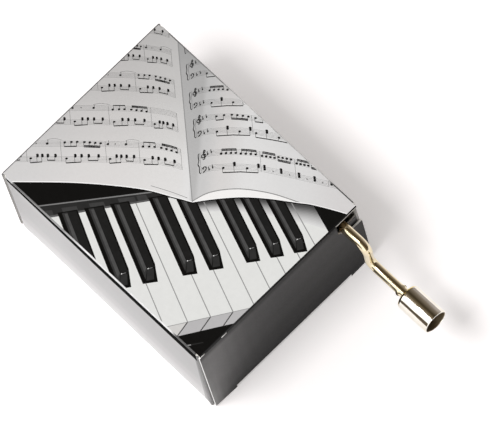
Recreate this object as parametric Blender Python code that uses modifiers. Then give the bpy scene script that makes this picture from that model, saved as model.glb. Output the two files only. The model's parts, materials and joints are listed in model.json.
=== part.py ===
"""Hand-cranked music box: a comb-and-cylinder movement in a tuck-end carton.

The origin is the middle of the carton's underside, +X runs towards the crank
end and +Z is up. Sizes are millimetres times MM, so the model is in metres.
"""
import math

import bmesh
import bpy
from mathutils import Matrix, Vector

MM = 0.001

# Gaps shared by all pieces
GAP = 0.3 * MM
SHAFT_FIT = 0.1 * MM

# Carton
CARTON_LENGTH = 64.0 * MM
CARTON_WIDTH = 49.5 * MM
CARTON_HEIGHT = 33.0 * MM
BOARD = 0.45 * MM
FOLD_RADIUS = 0.5 * MM
GLUE_FLAP_TOP_SPACE = 2.5 * MM
GLUE_FLAP_END_SPACE = 2.0 * MM

# Tuck ends
TONGUE_LENGTH = 9.0 * MM
TONGUE_CORNER = 3.0 * MM
SHOULDER = 6.6 * MM
SHOULDER_LIFT = 0.1 * MM
FOLD_SETBACK = 0.8 * MM
DUST_FLAP_LENGTH = 18.0 * MM
DUST_FLAP_TAPER = 2.5 * MM
DUST_FLAP_LIFT = 1.0 * MM
DUST_FLAP_HEADROOM = 1.5 * MM
SLOT_SIDE_CLEARANCE = 0.35 * MM
SLOT_UNDER_CLEARANCE = 3.95 * MM
FLAP_UNDER_CLEARANCE = 1.25 * MM

# Crank rod and knob
CRANK_INSET = 5.0 * MM
CRANK_DROP = 4.0 * MM
ROD_RADIUS = 1.25 * MM
ARM_REACH = 7.1 * MM
CRANK_THROW = 9.1 * MM
BEND_RADIUS = 2.5 * MM
KNOB_SETOFF = 11.2 * MM
KNOB_RADIUS = 3.0 * MM
KNOB_LENGTH = 10.0 * MM
KNOB_WALL = 0.35 * MM
KNOB_END_WALL = 2.0 * MM
KNOB_PLAY = 0.25 * MM
KNOB_NOSE_LENGTH = 0.9 * MM
KNOB_NOSE_STEP = 1.1 * MM
RETAINER_THICKNESS = 0.8 * MM
RETAINER_PLAY = 0.5 * MM
ROD_END_STICKOUT = 0.4 * MM
EAR_SETBACK = 1.3 * MM
EAR_LENGTH = 0.8 * MM
EAR_WIDTH = 0.7 * MM
EAR_HEIGHT = 0.3 * MM

# Worm drive
GEAR_SETBACK = 20.0 * MM
GEAR_TEETH = 16
MODULE = 0.8 * MM
GEAR_WIDTH = 3.0 * MM
TOOTH_TOP = 0.55 * MM
TOOTH_FOOT = 1.35 * MM
WORM_PITCH_RADIUS = 2.0 * MM
WORM_CORE_RADIUS = 1.25 * MM
THREAD_HEIGHT = 0.55 * MM
THREAD_TOP = 0.45 * MM
THREAD_FOOT = 1.15 * MM
THREAD_TURNS = 3.125
THREAD_STEPS = 24
JOURNAL_RADIUS = 1.5 * MM
COLLAR_RADIUS = 2.1 * MM
COLLAR_LENGTH = 0.7 * MM
SOCKET_WALL = 0.8 * MM
SOCKET_DEPTH = 4.0 * MM
SOCKET_STUB = 1.0 * MM

# Worm housing
HOUSING_WALL = 1.3 * MM
HOUSING_ROOF = 0.85 * MM
HOUSING_CLEARANCE = 0.9 * MM
HOUSING_FOOT_LENGTH = 4.4 * MM
HOUSING_FOOT_HEIGHT = 1.2 * MM

# Pinned cylinder
CYLINDER_RADIUS = 6.5 * MM
CYLINDER_LENGTH = 22.0 * MM
CYLINDER_WALL = 0.7 * MM
CYLINDER_END_SPACE = 1.0 * MM
PIN_HEIGHT = 0.6 * MM
PIN_RADIUS = 0.18 * MM
PIN_ROOT = 0.35 * MM
DISC_THICKNESS = 2.0 * MM
ARBOR_RADIUS = 1.0 * MM
ARBOR_END_SPACE = 0.2 * MM

# Comb
COMB_TEETH = 18
COMB_THICKNESS = 1.0 * MM
COMB_MARGIN = 0.4 * MM
COMB_SLOT = 0.35 * MM
COMB_ROOT = 10.0 * MM
COMB_TREBLE_SHARE = 0.55
COMB_TIP_CLEARANCE = 0.3 * MM
COMB_SCREW_INSET = 5.0 * MM

# Base plate, bearing bracket and riser block
BASE_THICKNESS = 2.2 * MM
BASE_UNDER_CLEARANCE = 0.8 * MM
BASE_BACK_SPACE = 4.0 * MM
BASE_MARGIN = 0.5 * MM
WINDOW_CLEARANCE = 0.8 * MM
BRACKET_THICKNESS = 1.2 * MM
BRACKET_FOOT = 4.6 * MM
BRACKET_HALF_WIDTH = 4.0 * MM
BRACKET_LIP = 0.3 * MM
BLOCK_END_SPACE = 1.0 * MM
BLOCK_MARGIN = 0.8 * MM
BASE_SCREW_INSET = 3.6 * MM

# Screws: shank radius, head radius, head height and length under the head
SLOT_DEPTH_SHARE = 0.5
SCREW_SLOT = 0.5 * MM
WOOD_SCREW = (1.0 * MM, 1.9 * MM, 1.2 * MM, 8.0 * MM)
COMB_SCREW = (1.25 * MM, 2.3 * MM, 1.4 * MM, 5.0 * MM)
SMALL_SCREW = (0.7 * MM, 1.4 * MM, 0.9 * MM, 2.6 * MM)

# Carton faces that the other pieces are set from
HALF_LENGTH = CARTON_LENGTH / 2
HALF_WIDTH = CARTON_WIDTH / 2
MOUTH_X = HALF_LENGTH - BOARD - GAP
INNER_Y = HALF_WIDTH - BOARD
FLOOR_Z = BOARD + GAP
CEILING_Z = CARTON_HEIGHT - BOARD
HINGE_X = HALF_LENGTH - BOARD / 2
HINGE_Z = CARTON_HEIGHT - BOARD / 2
TONGUE_Z = FLOOR_Z + BOARD / 2
DUST_FLAP_BOTTOM = FLOOR_Z + BOARD + DUST_FLAP_LIFT

# Crank axis and what follows it
CRANK_Y = HALF_WIDTH - CRANK_INSET
CRANK_Z = CARTON_HEIGHT - CRANK_DROP
ARM_X = HALF_LENGTH + ARM_REACH
KNOB_X = ARM_X + KNOB_SETOFF
KNOB_Z = CRANK_Z - CRANK_THROW
KNOB_BORE = KNOB_RADIUS - KNOB_WALL

# Worm wheel
GEAR_PITCH_RADIUS = MODULE * GEAR_TEETH / 2
GEAR_TIP_RADIUS = GEAR_PITCH_RADIUS + 0.75 * MODULE
GEAR_ROOT_RADIUS = GEAR_PITCH_RADIUS - 1.1 * MODULE
WORM_PITCH = math.pi * MODULE
WORM_TIP_RADIUS = WORM_PITCH_RADIUS + THREAD_HEIGHT
AXIS_X = HALF_LENGTH - GEAR_SETBACK
AXIS_Z = CRANK_Z - WORM_PITCH_RADIUS - GEAR_PITCH_RADIUS

# Stations along the cylinder's arbor
GEAR_Y0 = CRANK_Y - GEAR_WIDTH / 2
GEAR_Y1 = CRANK_Y + GEAR_WIDTH / 2
CYLINDER_Y1 = GEAR_Y0 - CYLINDER_END_SPACE
CYLINDER_Y0 = CYLINDER_Y1 - CYLINDER_LENGTH
BRACKET_Y1 = CYLINDER_Y0 - CYLINDER_END_SPACE
BRACKET_Y0 = BRACKET_Y1 - BRACKET_THICKNESS
HOUSING_Y0 = CRANK_Y - COLLAR_RADIUS - HOUSING_CLEARANCE
HOUSING_INNER_Y = max(GEAR_Y1, CRANK_Y + WORM_TIP_RADIUS) + GAP
HOUSING_Y1 = INNER_Y - GAP
SWEEP_RADIUS = max(CYLINDER_RADIUS + PIN_HEIGHT, GEAR_TIP_RADIUS)

# Stations along the worm
HOUSING_INNER_X = GEAR_TIP_RADIUS + HOUSING_CLEARANCE
HOUSING_OUTER_X = HOUSING_INNER_X + HOUSING_WALL
HOUSING_FOOT_X = HOUSING_OUTER_X + HOUSING_FOOT_LENGTH
SOCKET_START_X = AXIS_X + HOUSING_OUTER_X + GAP
ROD_START_X = SOCKET_START_X + SOCKET_STUB + GAP

# Heights and edges of the base
BASE_Z0 = AXIS_Z - SWEEP_RADIUS - BASE_UNDER_CLEARANCE
BASE_Z1 = BASE_Z0 + BASE_THICKNESS
BASE_X0 = -HALF_LENGTH + BASE_BACK_SPACE
BASE_X1 = AXIS_X + HOUSING_FOOT_X + BASE_MARGIN
BASE_Y0 = BRACKET_Y1 - BRACKET_FOOT - BASE_MARGIN
BASE_Y1 = HOUSING_Y1
BLOCK_X = HINGE_X - TONGUE_LENGTH - BLOCK_END_SPACE
BLOCK_Z1 = BASE_Z0 - GAP

# Comb
COMB_X0 = BASE_X0 + BASE_MARGIN
COMB_X1 = AXIS_X - CYLINDER_RADIUS - PIN_HEIGHT - COMB_TIP_CLEARANCE
COMB_Y0 = CYLINDER_Y0 + COMB_MARGIN
COMB_Y1 = HOUSING_Y0 - GAP
TOOTH_PITCH = (COMB_Y1 - COMB_Y0) / COMB_TEETH
COMB_Z0 = AXIS_Z - COMB_THICKNESS / 2
BED_Z1 = COMB_Z0 - GAP

ALONG_X = (0.0, math.pi / 2, 0.0)
ALONG_Y = (-math.pi / 2, 0.0, 0.0)
END_PANEL_TURN = (math.pi / 2, 0.0, math.pi / 2)
MERGE = 0.01 * MM


# Scene helpers

def clear_scene():
    for old in list(bpy.data.objects):
        bpy.data.objects.remove(old, do_unlink=True)


def new_collection(name):
    made = bpy.data.collections.new(name)
    bpy.context.scene.collection.children.link(made)
    return made


def new_material(name, color, roughness, metallic=0.0):
    made = bpy.data.materials.new(name)
    made.use_nodes = True
    shader = made.node_tree.nodes["Principled BSDF"]
    shader.inputs["Base Color"].default_value = (*color, 1.0)
    shader.inputs["Roughness"].default_value = roughness
    shader.inputs["Metallic"].default_value = metallic
    return made


clear_scene()
PARTS = new_collection("music_box")
CUTTERS = new_collection("cutters")

BOARD_FINISH = new_material("printed_board", (0.05, 0.05, 0.055), 0.35)
RAW_BOARD = new_material("raw_board", (0.78, 0.77, 0.74), 0.8)
WOOD = new_material("softwood", (0.66, 0.48, 0.30), 0.7)
CASTING = new_material("zinc_casting", (0.62, 0.62, 0.60), 0.45, 1.0)
STEEL = new_material("spring_steel", (0.55, 0.56, 0.58), 0.3, 1.0)
BRASS = new_material("brass", (0.80, 0.62, 0.30), 0.3, 1.0)
PLATING = new_material("nickel_plating", (0.80, 0.76, 0.66), 0.12, 1.0)
NYLON = new_material("nylon", (0.86, 0.85, 0.80), 0.5)


def add_part(name, data, finish, place=(0.0, 0.0, 0.0), turn=(0.0, 0.0, 0.0)):
    """Link one named piece at its place."""
    made = bpy.data.objects.new(name, data)
    made.location = place
    made.rotation_euler = turn
    data.materials.append(finish)
    PARTS.objects.link(made)
    return made


def mesh_from(name, shape):
    made = bpy.data.meshes.new(name)
    bmesh.ops.recalc_face_normals(shape, faces=shape.faces)
    shape.to_mesh(made)
    shape.free()
    return made


def add_box(shape, x, y, z):
    """Add a box that fills three (low, high) spans to a bmesh."""
    size = (x[1] - x[0], y[1] - y[0], z[1] - z[0], 1.0)
    middle = Vector((sum(x) / 2, sum(y) / 2, sum(z) / 2))
    fit = Matrix.Translation(middle) @ Matrix.Diagonal(size)
    bmesh.ops.create_cube(shape, size=1.0, matrix=fit)


def add_round(shape, radius, start, end, segments=16):
    """Add a round bar between two points to a bmesh."""
    span = Vector(end) - Vector(start)
    turn = span.to_track_quat("Z", "Y").to_matrix().to_4x4()
    fit = Matrix.Translation((Vector(start) + Vector(end)) / 2) @ turn
    bmesh.ops.create_cone(
        shape,
        cap_ends=True,
        segments=segments,
        radius1=radius,
        radius2=radius,
        depth=span.length,
        matrix=fit,
    )


def box_part(name, finish, x, y, z):
    shape = bmesh.new()
    add_box(shape, x, y, z)
    return add_part(name, mesh_from(name, shape), finish)


def boolean(target, shape, operation):
    """Cut or join a piece with a bmesh given in world coordinates."""
    name = f"{target.name}_{operation.lower()}_{len(target.modifiers)}"
    tool = bpy.data.objects.new(name, mesh_from(name, shape))
    tool.display_type = "WIRE"
    tool.hide_render = True
    CUTTERS.objects.link(tool)
    step = target.modifiers.new(operation.title(), "BOOLEAN")
    step.operation = operation
    step.solver = "EXACT"
    step.object = tool


def turned(name, finish, profile, place, turn, closed=False, steps=32):
    """Turn a profile of (radius, height) points, outer side listed top to bottom."""
    count = len(profile)
    edges = [(i, i + 1) for i in range(count - 1)]
    if closed:
        edges.append((count - 1, 0))
    mesh = bpy.data.meshes.new(name)
    mesh.from_pydata([(radius, 0.0, height) for radius, height in profile], edges, [])
    made = add_part(name, mesh, finish, place, turn)
    screw = made.modifiers.new("Turn", "SCREW")
    screw.steps = steps
    screw.render_steps = steps
    screw.use_merge_vertices = True
    screw.merge_threshold = MERGE
    screw.use_smooth_shade = True
    return made


def outline_part(name, finish, loops, thickness, place, turn=(0.0, 0.0, 0.0)):
    """Extrude flat closed outlines, an outer one and any holes, about their plane."""
    curve = bpy.data.curves.new(name, "CURVE")
    curve.dimensions = "2D"
    curve.fill_mode = "BOTH"
    curve.extrude = thickness / 2
    for loop in loops:
        spline = curve.splines.new("POLY")
        spline.points.add(len(loop) - 1)
        for point, (x, y) in zip(spline.points, loop):
            point.co = (x, y, 0.0, 1.0)
        spline.use_cyclic_u = True
    return add_part(name, curve, finish, place, turn)


def as_mesh(curve_object):
    """Turn a curve object into a mesh object of the same name and place."""
    bpy.context.view_layer.update()
    graph = bpy.context.evaluated_depsgraph_get()
    mesh = bpy.data.meshes.new_from_object(curve_object.evaluated_get(graph))
    shape = bmesh.new()
    shape.from_mesh(mesh)
    bmesh.ops.remove_doubles(shape, verts=shape.verts, dist=MERGE)
    bmesh.ops.recalc_face_normals(shape, faces=shape.faces)
    shape.to_mesh(mesh)
    shape.free()
    name = curve_object.name
    matrix = curve_object.matrix_world.copy()
    bpy.data.objects.remove(curve_object, do_unlink=True)
    made = bpy.data.objects.new(name, mesh)
    made.matrix_world = matrix
    PARTS.objects.link(made)
    return made


def arc(center, radius, start, end, count):
    """Points on an arc, with its angles in degrees."""
    points = []
    for i in range(count):
        angle = math.radians(start + (end - start) * i / (count - 1))
        points.append((center[0] + radius * math.cos(angle), center[1] + radius * math.sin(angle)))
    return points


def circle(center, radius, count=16):
    return arc(center, radius, 0.0, 360.0 * (count - 1) / count, count)


def joint_empty(name, place, pieces):
    """Put an empty on a joint's axis and hang the moving pieces on it."""
    empty = bpy.data.objects.new(name, None)
    empty.location = place
    PARTS.objects.link(empty)
    for piece in pieces:
        piece.parent = empty
        piece.matrix_parent_inverse = Matrix.Translation(place).inverted()
    return empty


def screw_part(name, x, y, seat_z, kind):
    """A slotted pan-head screw whose head sits just above seat_z."""
    shank, head, height, length = kind
    point = shank * 0.8
    profile = [
        (0.0, height),
        (head * 0.55, height),
        (head * 0.9, height * 0.7),
        (head, height * 0.3),
        (head, 0.0),
        (shank, 0.0),
        (shank, point - length),
        (0.0, -length),
    ]
    made = turned(name, STEEL, profile, (x, y, seat_z + GAP), (0.0, 0.0, 0.0), steps=16)
    top = seat_z + GAP + height
    slot = bmesh.new()
    add_box(
        slot,
        (x - head * 1.2, x + head * 1.2),
        (y - SCREW_SLOT / 2, y + SCREW_SLOT / 2),
        (top - height * SLOT_DEPTH_SHARE, top + height),
    )
    boolean(made, slot, "DIFFERENCE")


# Carton

def carton_sleeve():
    """The top, side walls and bottom: one tube of board, open at both ends."""
    shape = bmesh.new()
    add_box(
        shape,
        (-MOUTH_X, MOUTH_X),
        (-HALF_WIDTH, HALF_WIDTH),
        (0.0, CARTON_HEIGHT),
    )
    ends = [face for face in shape.faces if abs(face.normal.x) > 0.5]
    bmesh.ops.delete(shape, geom=ends, context="FACES_ONLY")
    folds = [edge for edge in shape.edges if not edge.is_boundary]
    bmesh.ops.bevel(
        shape,
        geom=folds,
        offset=FOLD_RADIUS,
        offset_type="OFFSET",
        segments=3,
        profile=0.5,
        affect="EDGES",
    )
    made = add_part("carton_sleeve", mesh_from("carton_sleeve", shape), BOARD_FINISH)
    wall = made.modifiers.new("Board", "SOLIDIFY")
    wall.thickness = BOARD
    wall.offset = -1.0
    wall.use_even_offset = True


def glue_flap():
    outer_y = INNER_Y - GAP
    end = MOUTH_X - GLUE_FLAP_END_SPACE
    box_part(
        "glue_flap",
        RAW_BOARD,
        (-end, end),
        (outer_y - BOARD, outer_y),
        (FLOOR_Z, BLOCK_Z1 - GLUE_FLAP_TOP_SPACE),
    )


def end_panel(name, side, with_slot):
    """A closing panel on the top fold; side is +1 at the crank end, -1 at the back."""
    low = SHOULDER_LIFT - HINGE_Z
    middle_low = TONGUE_Z + FOLD_SETBACK - HINGE_Z
    high = BOARD / 2
    tongue = HALF_WIDTH - SHOULDER
    outline = [
        (-HALF_WIDTH, low),
        (-tongue, low),
        (-tongue, middle_low),
        (tongue, middle_low),
        (tongue, low),
        (HALF_WIDTH, low),
    ]
    if with_slot:
        slot_y = CRANK_Y - ROD_RADIUS - SLOT_SIDE_CLEARANCE
        slot_z = CRANK_Z - ROD_RADIUS - SLOT_UNDER_CLEARANCE - HINGE_Z
        outline += [(HALF_WIDTH, slot_z), (slot_y, slot_z), (slot_y, high)]
    else:
        outline += [(HALF_WIDTH, high)]
    outline.append((-HALF_WIDTH, high))
    place = (side * HINGE_X, 0.0, HINGE_Z)
    return outline_part(name, BOARD_FINISH, [outline], BOARD, place, END_PANEL_TURN)


def tuck_tongue(name, side):
    """The flap folded in from a closing panel's lower edge, with rounded corners."""
    half = HALF_WIDTH - SHOULDER - GAP
    tip = TONGUE_LENGTH
    corner = TONGUE_CORNER
    points = [(BOARD / 2, -half)]
    points += arc((corner - tip, corner - half), corner, 270.0, 180.0, 6)
    points += arc((corner - tip, half - corner), corner, 180.0, 90.0, 6)
    points.append((BOARD / 2, half))
    outline = [(side * x, y) for x, y in points]
    place = (side * HINGE_X, 0.0, TONGUE_Z)
    return outline_part(name, BOARD_FINISH, [outline], BOARD, place)


def dust_flap(name, end, wall, top):
    """A flap folded in from a side wall; end and wall are the signs of its X and Y."""
    fold = INNER_Y - GAP
    free = fold - DUST_FLAP_LENGTH
    outline = [
        (wall * fold, DUST_FLAP_BOTTOM),
        (wall * free, DUST_FLAP_BOTTOM + DUST_FLAP_TAPER),
        (wall * free, top - DUST_FLAP_TAPER),
        (wall * fold, top),
    ]
    place = (end * (MOUTH_X - BOARD / 2), 0.0, 0.0)
    outline_part(name, BOARD_FINISH, [outline], BOARD, place, END_PANEL_TURN)


def carton():
    carton_sleeve()
    glue_flap()
    full_top = CEILING_Z - DUST_FLAP_HEADROOM
    crank_top = CRANK_Z - ROD_RADIUS - FLAP_UNDER_CLEARANCE
    dust_flap("crank_end_dust_flap_left", 1, -1, full_top)
    dust_flap("crank_end_dust_flap_right", 1, 1, crank_top)
    dust_flap("back_end_dust_flap_left", -1, -1, full_top)
    dust_flap("back_end_dust_flap_right", -1, 1, full_top)
    for label, side, with_slot in (("crank_end", 1, True), ("back_end", -1, False)):
        panel = end_panel(f"{label}_panel", side, with_slot)
        tongue = tuck_tongue(f"{label}_tongue", side)
        joint_empty(f"{label}_panel_hinge", (side * HINGE_X, 0.0, HINGE_Z), [panel])
        joint_empty(f"{label}_tongue_hinge", (side * HINGE_X, 0.0, TONGUE_Z), [tongue])


# Base plate and what stands on it

def base_screw_places():
    inset = BASE_SCREW_INSET
    back = -BLOCK_X + inset
    front = BLOCK_X - inset
    return [
        (back, BASE_Y0 + inset),
        (back, BASE_Y1 - inset),
        (front, BASE_Y0 + inset),
    ]


def comb_screw_places():
    x = COMB_X0 + COMB_ROOT / 2
    return [(x, COMB_Y0 + COMB_SCREW_INSET), (x, COMB_Y1 - COMB_SCREW_INSET)]


def bracket_screw_place():
    return (AXIS_X, (BRACKET_Y0 + BRACKET_Y1 - BRACKET_FOOT) / 2)


def housing_screw_places():
    reach = (HOUSING_OUTER_X + HOUSING_FOOT_X) / 2
    y = (HOUSING_Y0 + HOUSING_Y1) / 2
    return [(AXIS_X - reach, y), (AXIS_X + reach, y)]


def drill(shape, places, kind, top, depth):
    """Add a clearance hole for each screw place to a cutter."""
    for x, y in places:
        add_round(shape, kind[0] + SHAFT_FIT, (x, y, top + GAP), (x, y, top - depth))


def riser_block():
    """The wooden block across the carton that brings the movement up to the slot."""
    made = box_part(
        "riser_block",
        WOOD,
        (-BLOCK_X, BLOCK_X),
        (GAP - INNER_Y, BASE_Y1 - BLOCK_MARGIN),
        (FLOOR_Z, BLOCK_Z1),
    )
    holes = bmesh.new()
    drill(holes, base_screw_places(), WOOD_SCREW, BLOCK_Z1, WOOD_SCREW[3])
    boolean(made, holes, "DIFFERENCE")


def base_plate():
    """The cast base with its raised comb bed and the window under the cylinder."""
    made = box_part(
        "base_plate",
        CASTING,
        (BASE_X0, BASE_X1),
        (BASE_Y0, BASE_Y1),
        (BASE_Z0, BASE_Z1),
    )
    bed = bmesh.new()
    add_box(
        bed,
        (COMB_X0, COMB_X0 + COMB_ROOT),
        (COMB_Y0, COMB_Y1),
        (BASE_Z1 - GAP, BED_Z1),
    )
    boolean(made, bed, "UNION")
    cuts = bmesh.new()
    reach = SWEEP_RADIUS + WINDOW_CLEARANCE
    add_box(
        cuts,
        (AXIS_X - reach, AXIS_X + reach),
        (CYLINDER_Y0 - CYLINDER_END_SPACE / 2, HOUSING_INNER_Y),
        (BASE_Z0 - BOARD, BASE_Z1 + BOARD),
    )
    drill(cuts, base_screw_places(), WOOD_SCREW, BASE_Z1, BASE_THICKNESS + GAP)
    drill(cuts, comb_screw_places(), COMB_SCREW, BED_Z1, COMB_SCREW[3])
    drill(cuts, [bracket_screw_place()], SMALL_SCREW, BASE_Z1, BASE_THICKNESS + GAP)
    drill(cuts, housing_screw_places(), SMALL_SCREW, BASE_Z1, BASE_THICKNESS + GAP)
    boolean(made, cuts, "DIFFERENCE")


def comb():
    """The tuned steel comb: long bass teeth at one side, short treble at the other."""
    longest = COMB_X1 - COMB_X0 - COMB_ROOT
    outline = [(COMB_X0, COMB_Y0)]
    for i in range(COMB_TEETH):
        first = i == 0
        last = i == COMB_TEETH - 1
        low = COMB_Y0 + i * TOOTH_PITCH + (0.0 if first else COMB_SLOT / 2)
        high = COMB_Y0 + (i + 1) * TOOTH_PITCH - (0.0 if last else COMB_SLOT / 2)
        outline += [(COMB_X1, low), (COMB_X1, high)]
        if not last:
            share = i / (COMB_TEETH - 2)
            depth = longest * (1.0 - (1.0 - COMB_TREBLE_SHARE) * share)
            outline += [(COMB_X1 - depth, high), (COMB_X1 - depth, high + COMB_SLOT)]
    outline.append((COMB_X0, COMB_Y1))
    holes = [circle(place, COMB_SCREW[0] + SHAFT_FIT) for place in comb_screw_places()]
    place = (0.0, 0.0, COMB_Z0 + COMB_THICKNESS / 2)
    outline_part("comb", STEEL, [outline, *holes], COMB_THICKNESS, place)


def bearing_bracket():
    """An angle bracket that carries the arbor's left end."""
    foot_z0 = BASE_Z1 + GAP
    foot_z1 = foot_z0 + BRACKET_THICKNESS
    half = BRACKET_HALF_WIDTH
    low = (foot_z0 + foot_z1) / 2 - AXIS_Z
    outline = [(-half, low), (half, low)]
    outline += arc((0.0, 0.0), half, 0.0, 180.0, 13)
    bore = circle((0.0, 0.0), ARBOR_RADIUS + SHAFT_FIT)
    upright = outline_part(
        "bearing_bracket",
        CASTING,
        [outline, bore],
        BRACKET_THICKNESS,
        (AXIS_X, (BRACKET_Y0 + BRACKET_Y1) / 2, AXIS_Z),
        (math.pi / 2, 0.0, 0.0),
    )
    made = as_mesh(upright)
    foot = bmesh.new()
    add_box(
        foot,
        (AXIS_X - half - BRACKET_LIP, AXIS_X + half + BRACKET_LIP),
        (BRACKET_Y1 - BRACKET_FOOT, BRACKET_Y1 + BRACKET_LIP),
        (foot_z0, foot_z1),
    )
    boolean(made, foot, "UNION")
    hole = bmesh.new()
    drill(hole, [bracket_screw_place()], SMALL_SCREW, foot_z1, BRACKET_THICKNESS + GAP)
    boolean(made, hole, "DIFFERENCE")


def worm_housing():
    """Three walls round the worm wheel: two carry the worm, the third the arbor."""
    foot_z0 = BASE_Z1 + GAP
    foot_z1 = foot_z0 + HOUSING_FOOT_HEIGHT
    top = CRANK_Z + JOURNAL_RADIUS + SHAFT_FIT + HOUSING_ROOF
    outline = [
        (-HOUSING_FOOT_X, foot_z0),
        (HOUSING_FOOT_X, foot_z0),
        (HOUSING_FOOT_X, foot_z1),
        (HOUSING_OUTER_X, foot_z1),
        (HOUSING_OUTER_X, top),
        (-HOUSING_OUTER_X, top),
        (-HOUSING_OUTER_X, foot_z1),
        (-HOUSING_FOOT_X, foot_z1),
    ]
    body = outline_part(
        "worm_housing",
        NYLON,
        [outline],
        HOUSING_Y1 - HOUSING_Y0,
        (AXIS_X, (HOUSING_Y0 + HOUSING_Y1) / 2, 0.0),
        (math.pi / 2, 0.0, 0.0),
    )
    made = as_mesh(body)
    room = bmesh.new()
    add_box(
        room,
        (AXIS_X - HOUSING_INNER_X, AXIS_X + HOUSING_INNER_X),
        (HOUSING_Y0 - BOARD, HOUSING_INNER_Y),
        (foot_z0 - BOARD, top + BOARD),
    )
    boolean(made, room, "DIFFERENCE")
    holes = bmesh.new()
    add_round(
        holes,
        JOURNAL_RADIUS + SHAFT_FIT,
        (AXIS_X - HOUSING_FOOT_X, CRANK_Y, CRANK_Z),
        (AXIS_X + HOUSING_FOOT_X, CRANK_Y, CRANK_Z),
        24,
    )
    add_round(
        holes,
        ARBOR_RADIUS + SHAFT_FIT,
        (AXIS_X, HOUSING_INNER_Y - GAP, AXIS_Z),
        (AXIS_X, HOUSING_Y1 + GAP, AXIS_Z),
    )
    drill(holes, housing_screw_places(), SMALL_SCREW, foot_z1, HOUSING_FOOT_HEIGHT + GAP)
    boolean(made, holes, "DIFFERENCE")


def fixed_screws():
    for i, (x, y) in enumerate(base_screw_places(), 1):
        screw_part(f"base_screw_{i}", x, y, BASE_Z1, WOOD_SCREW)
    for i, (x, y) in enumerate(comb_screw_places(), 1):
        screw_part(f"comb_screw_{i}", x, y, COMB_Z0 + COMB_THICKNESS, COMB_SCREW)
    x, y = bracket_screw_place()
    screw_part("bracket_screw", x, y, BASE_Z1 + GAP + BRACKET_THICKNESS, SMALL_SCREW)
    for i, (x, y) in enumerate(housing_screw_places(), 1):
        screw_part(f"housing_screw_{i}", x, y, BASE_Z1 + GAP + HOUSING_FOOT_HEIGHT, SMALL_SCREW)


# Cylinder, its discs and arbor, and the worm wheel

def tune():
    """An up-and-down scale with a bass note on every third beat."""
    beats = 48
    notes = set()
    for beat in range(beats):
        wave = math.sin(2.0 * math.pi * beat / 16.0)
        melody = round(COMB_TEETH * 0.62 + wave * COMB_TEETH * 0.28)
        notes.add((min(melody, COMB_TEETH - 1), beat))
        if beat % 3 == 0:
            notes.add(((beat // 3) % 4 * 2, beat))
    return [(tooth, 2.0 * math.pi * beat / beats) for tooth, beat in sorted(notes)]


def cylinder():
    inner = CYLINDER_RADIUS - CYLINDER_WALL
    profile = [
        (CYLINDER_RADIUS, CYLINDER_LENGTH),
        (CYLINDER_RADIUS, 0.0),
        (inner, 0.0),
        (inner, CYLINDER_LENGTH),
    ]
    made = turned(
        "cylinder",
        BRASS,
        profile,
        (AXIS_X, CYLINDER_Y0, AXIS_Z),
        ALONG_Y,
        closed=True,
        steps=48,
    )
    pins = bmesh.new()
    for tooth, angle in tune():
        y = COMB_Y0 + (tooth + 0.5) * TOOTH_PITCH
        outward = Vector((math.cos(angle), 0.0, math.sin(angle)))
        middle = Vector((AXIS_X, y, AXIS_Z))
        foot = middle + outward * (CYLINDER_RADIUS - PIN_ROOT)
        tip = middle + outward * (CYLINDER_RADIUS + PIN_HEIGHT)
        add_round(pins, PIN_RADIUS, foot, tip, 6)
    boolean(made, pins, "UNION")
    return made


def end_disc(name, y):
    """A disc inside one end of the cylinder that seats it on the arbor."""
    outer = CYLINDER_RADIUS - CYLINDER_WALL - SHAFT_FIT
    bore = ARBOR_RADIUS + SHAFT_FIT
    profile = [(outer, DISC_THICKNESS), (outer, 0.0), (bore, 0.0), (bore, DISC_THICKNESS)]
    return turned(name, BRASS, profile, (AXIS_X, y, AXIS_Z), ALONG_Y, closed=True, steps=24)


def arbor():
    start = BRACKET_Y0 - ARBOR_END_SPACE
    length = HOUSING_Y1 - start
    profile = [(0.0, length), (ARBOR_RADIUS, length), (ARBOR_RADIUS, 0.0), (0.0, 0.0)]
    return turned("cylinder_arbor", STEEL, profile, (AXIS_X, start, AXIS_Z), ALONG_Y, steps=16)


def worm_wheel():
    """A helical wheel whose teeth lean with the worm's thread."""
    lean = WORM_PITCH / (2.0 * math.pi * WORM_PITCH_RADIUS)
    twist = lean * GEAR_WIDTH / GEAR_PITCH_RADIUS
    foot_angle = TOOTH_FOOT / 2 / GEAR_ROOT_RADIUS
    top_angle = TOOTH_TOP / 2 / GEAR_TIP_RADIUS
    shape = bmesh.new()
    ring = []
    for tooth in range(GEAR_TEETH):
        middle = math.pi / 2 + 2.0 * math.pi * tooth / GEAR_TEETH
        corners = (
            (GEAR_ROOT_RADIUS, -foot_angle),
            (GEAR_TIP_RADIUS, -top_angle),
            (GEAR_TIP_RADIUS, top_angle),
            (GEAR_ROOT_RADIUS, foot_angle),
        )
        for radius, offset in corners:
            angle = middle + offset
            ring.append(shape.verts.new((radius * math.cos(angle), 0.0, radius * math.sin(angle))))
    face = shape.faces.new(ring)
    bmesh.ops.rotate(shape, verts=ring, cent=(0, 0, 0), matrix=Matrix.Rotation(-twist / 2, 3, "Y"))
    grown = bmesh.ops.extrude_face_region(shape, geom=[face])
    far = [item for item in grown["geom"] if isinstance(item, bmesh.types.BMVert)]
    bmesh.ops.translate(shape, verts=far, vec=(0.0, GEAR_WIDTH, 0.0))
    bmesh.ops.rotate(shape, verts=far, cent=(0, 0, 0), matrix=Matrix.Rotation(twist, 3, "Y"))
    made = add_part("worm_wheel", mesh_from("worm_wheel", shape), BRASS, (AXIS_X, GEAR_Y0, AXIS_Z))
    bore = bmesh.new()
    add_round(
        bore,
        ARBOR_RADIUS + SHAFT_FIT,
        (AXIS_X, GEAR_Y0 - GAP, AXIS_Z),
        (AXIS_X, GEAR_Y1 + GAP, AXIS_Z),
    )
    boolean(made, bore, "DIFFERENCE")
    return made


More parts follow.
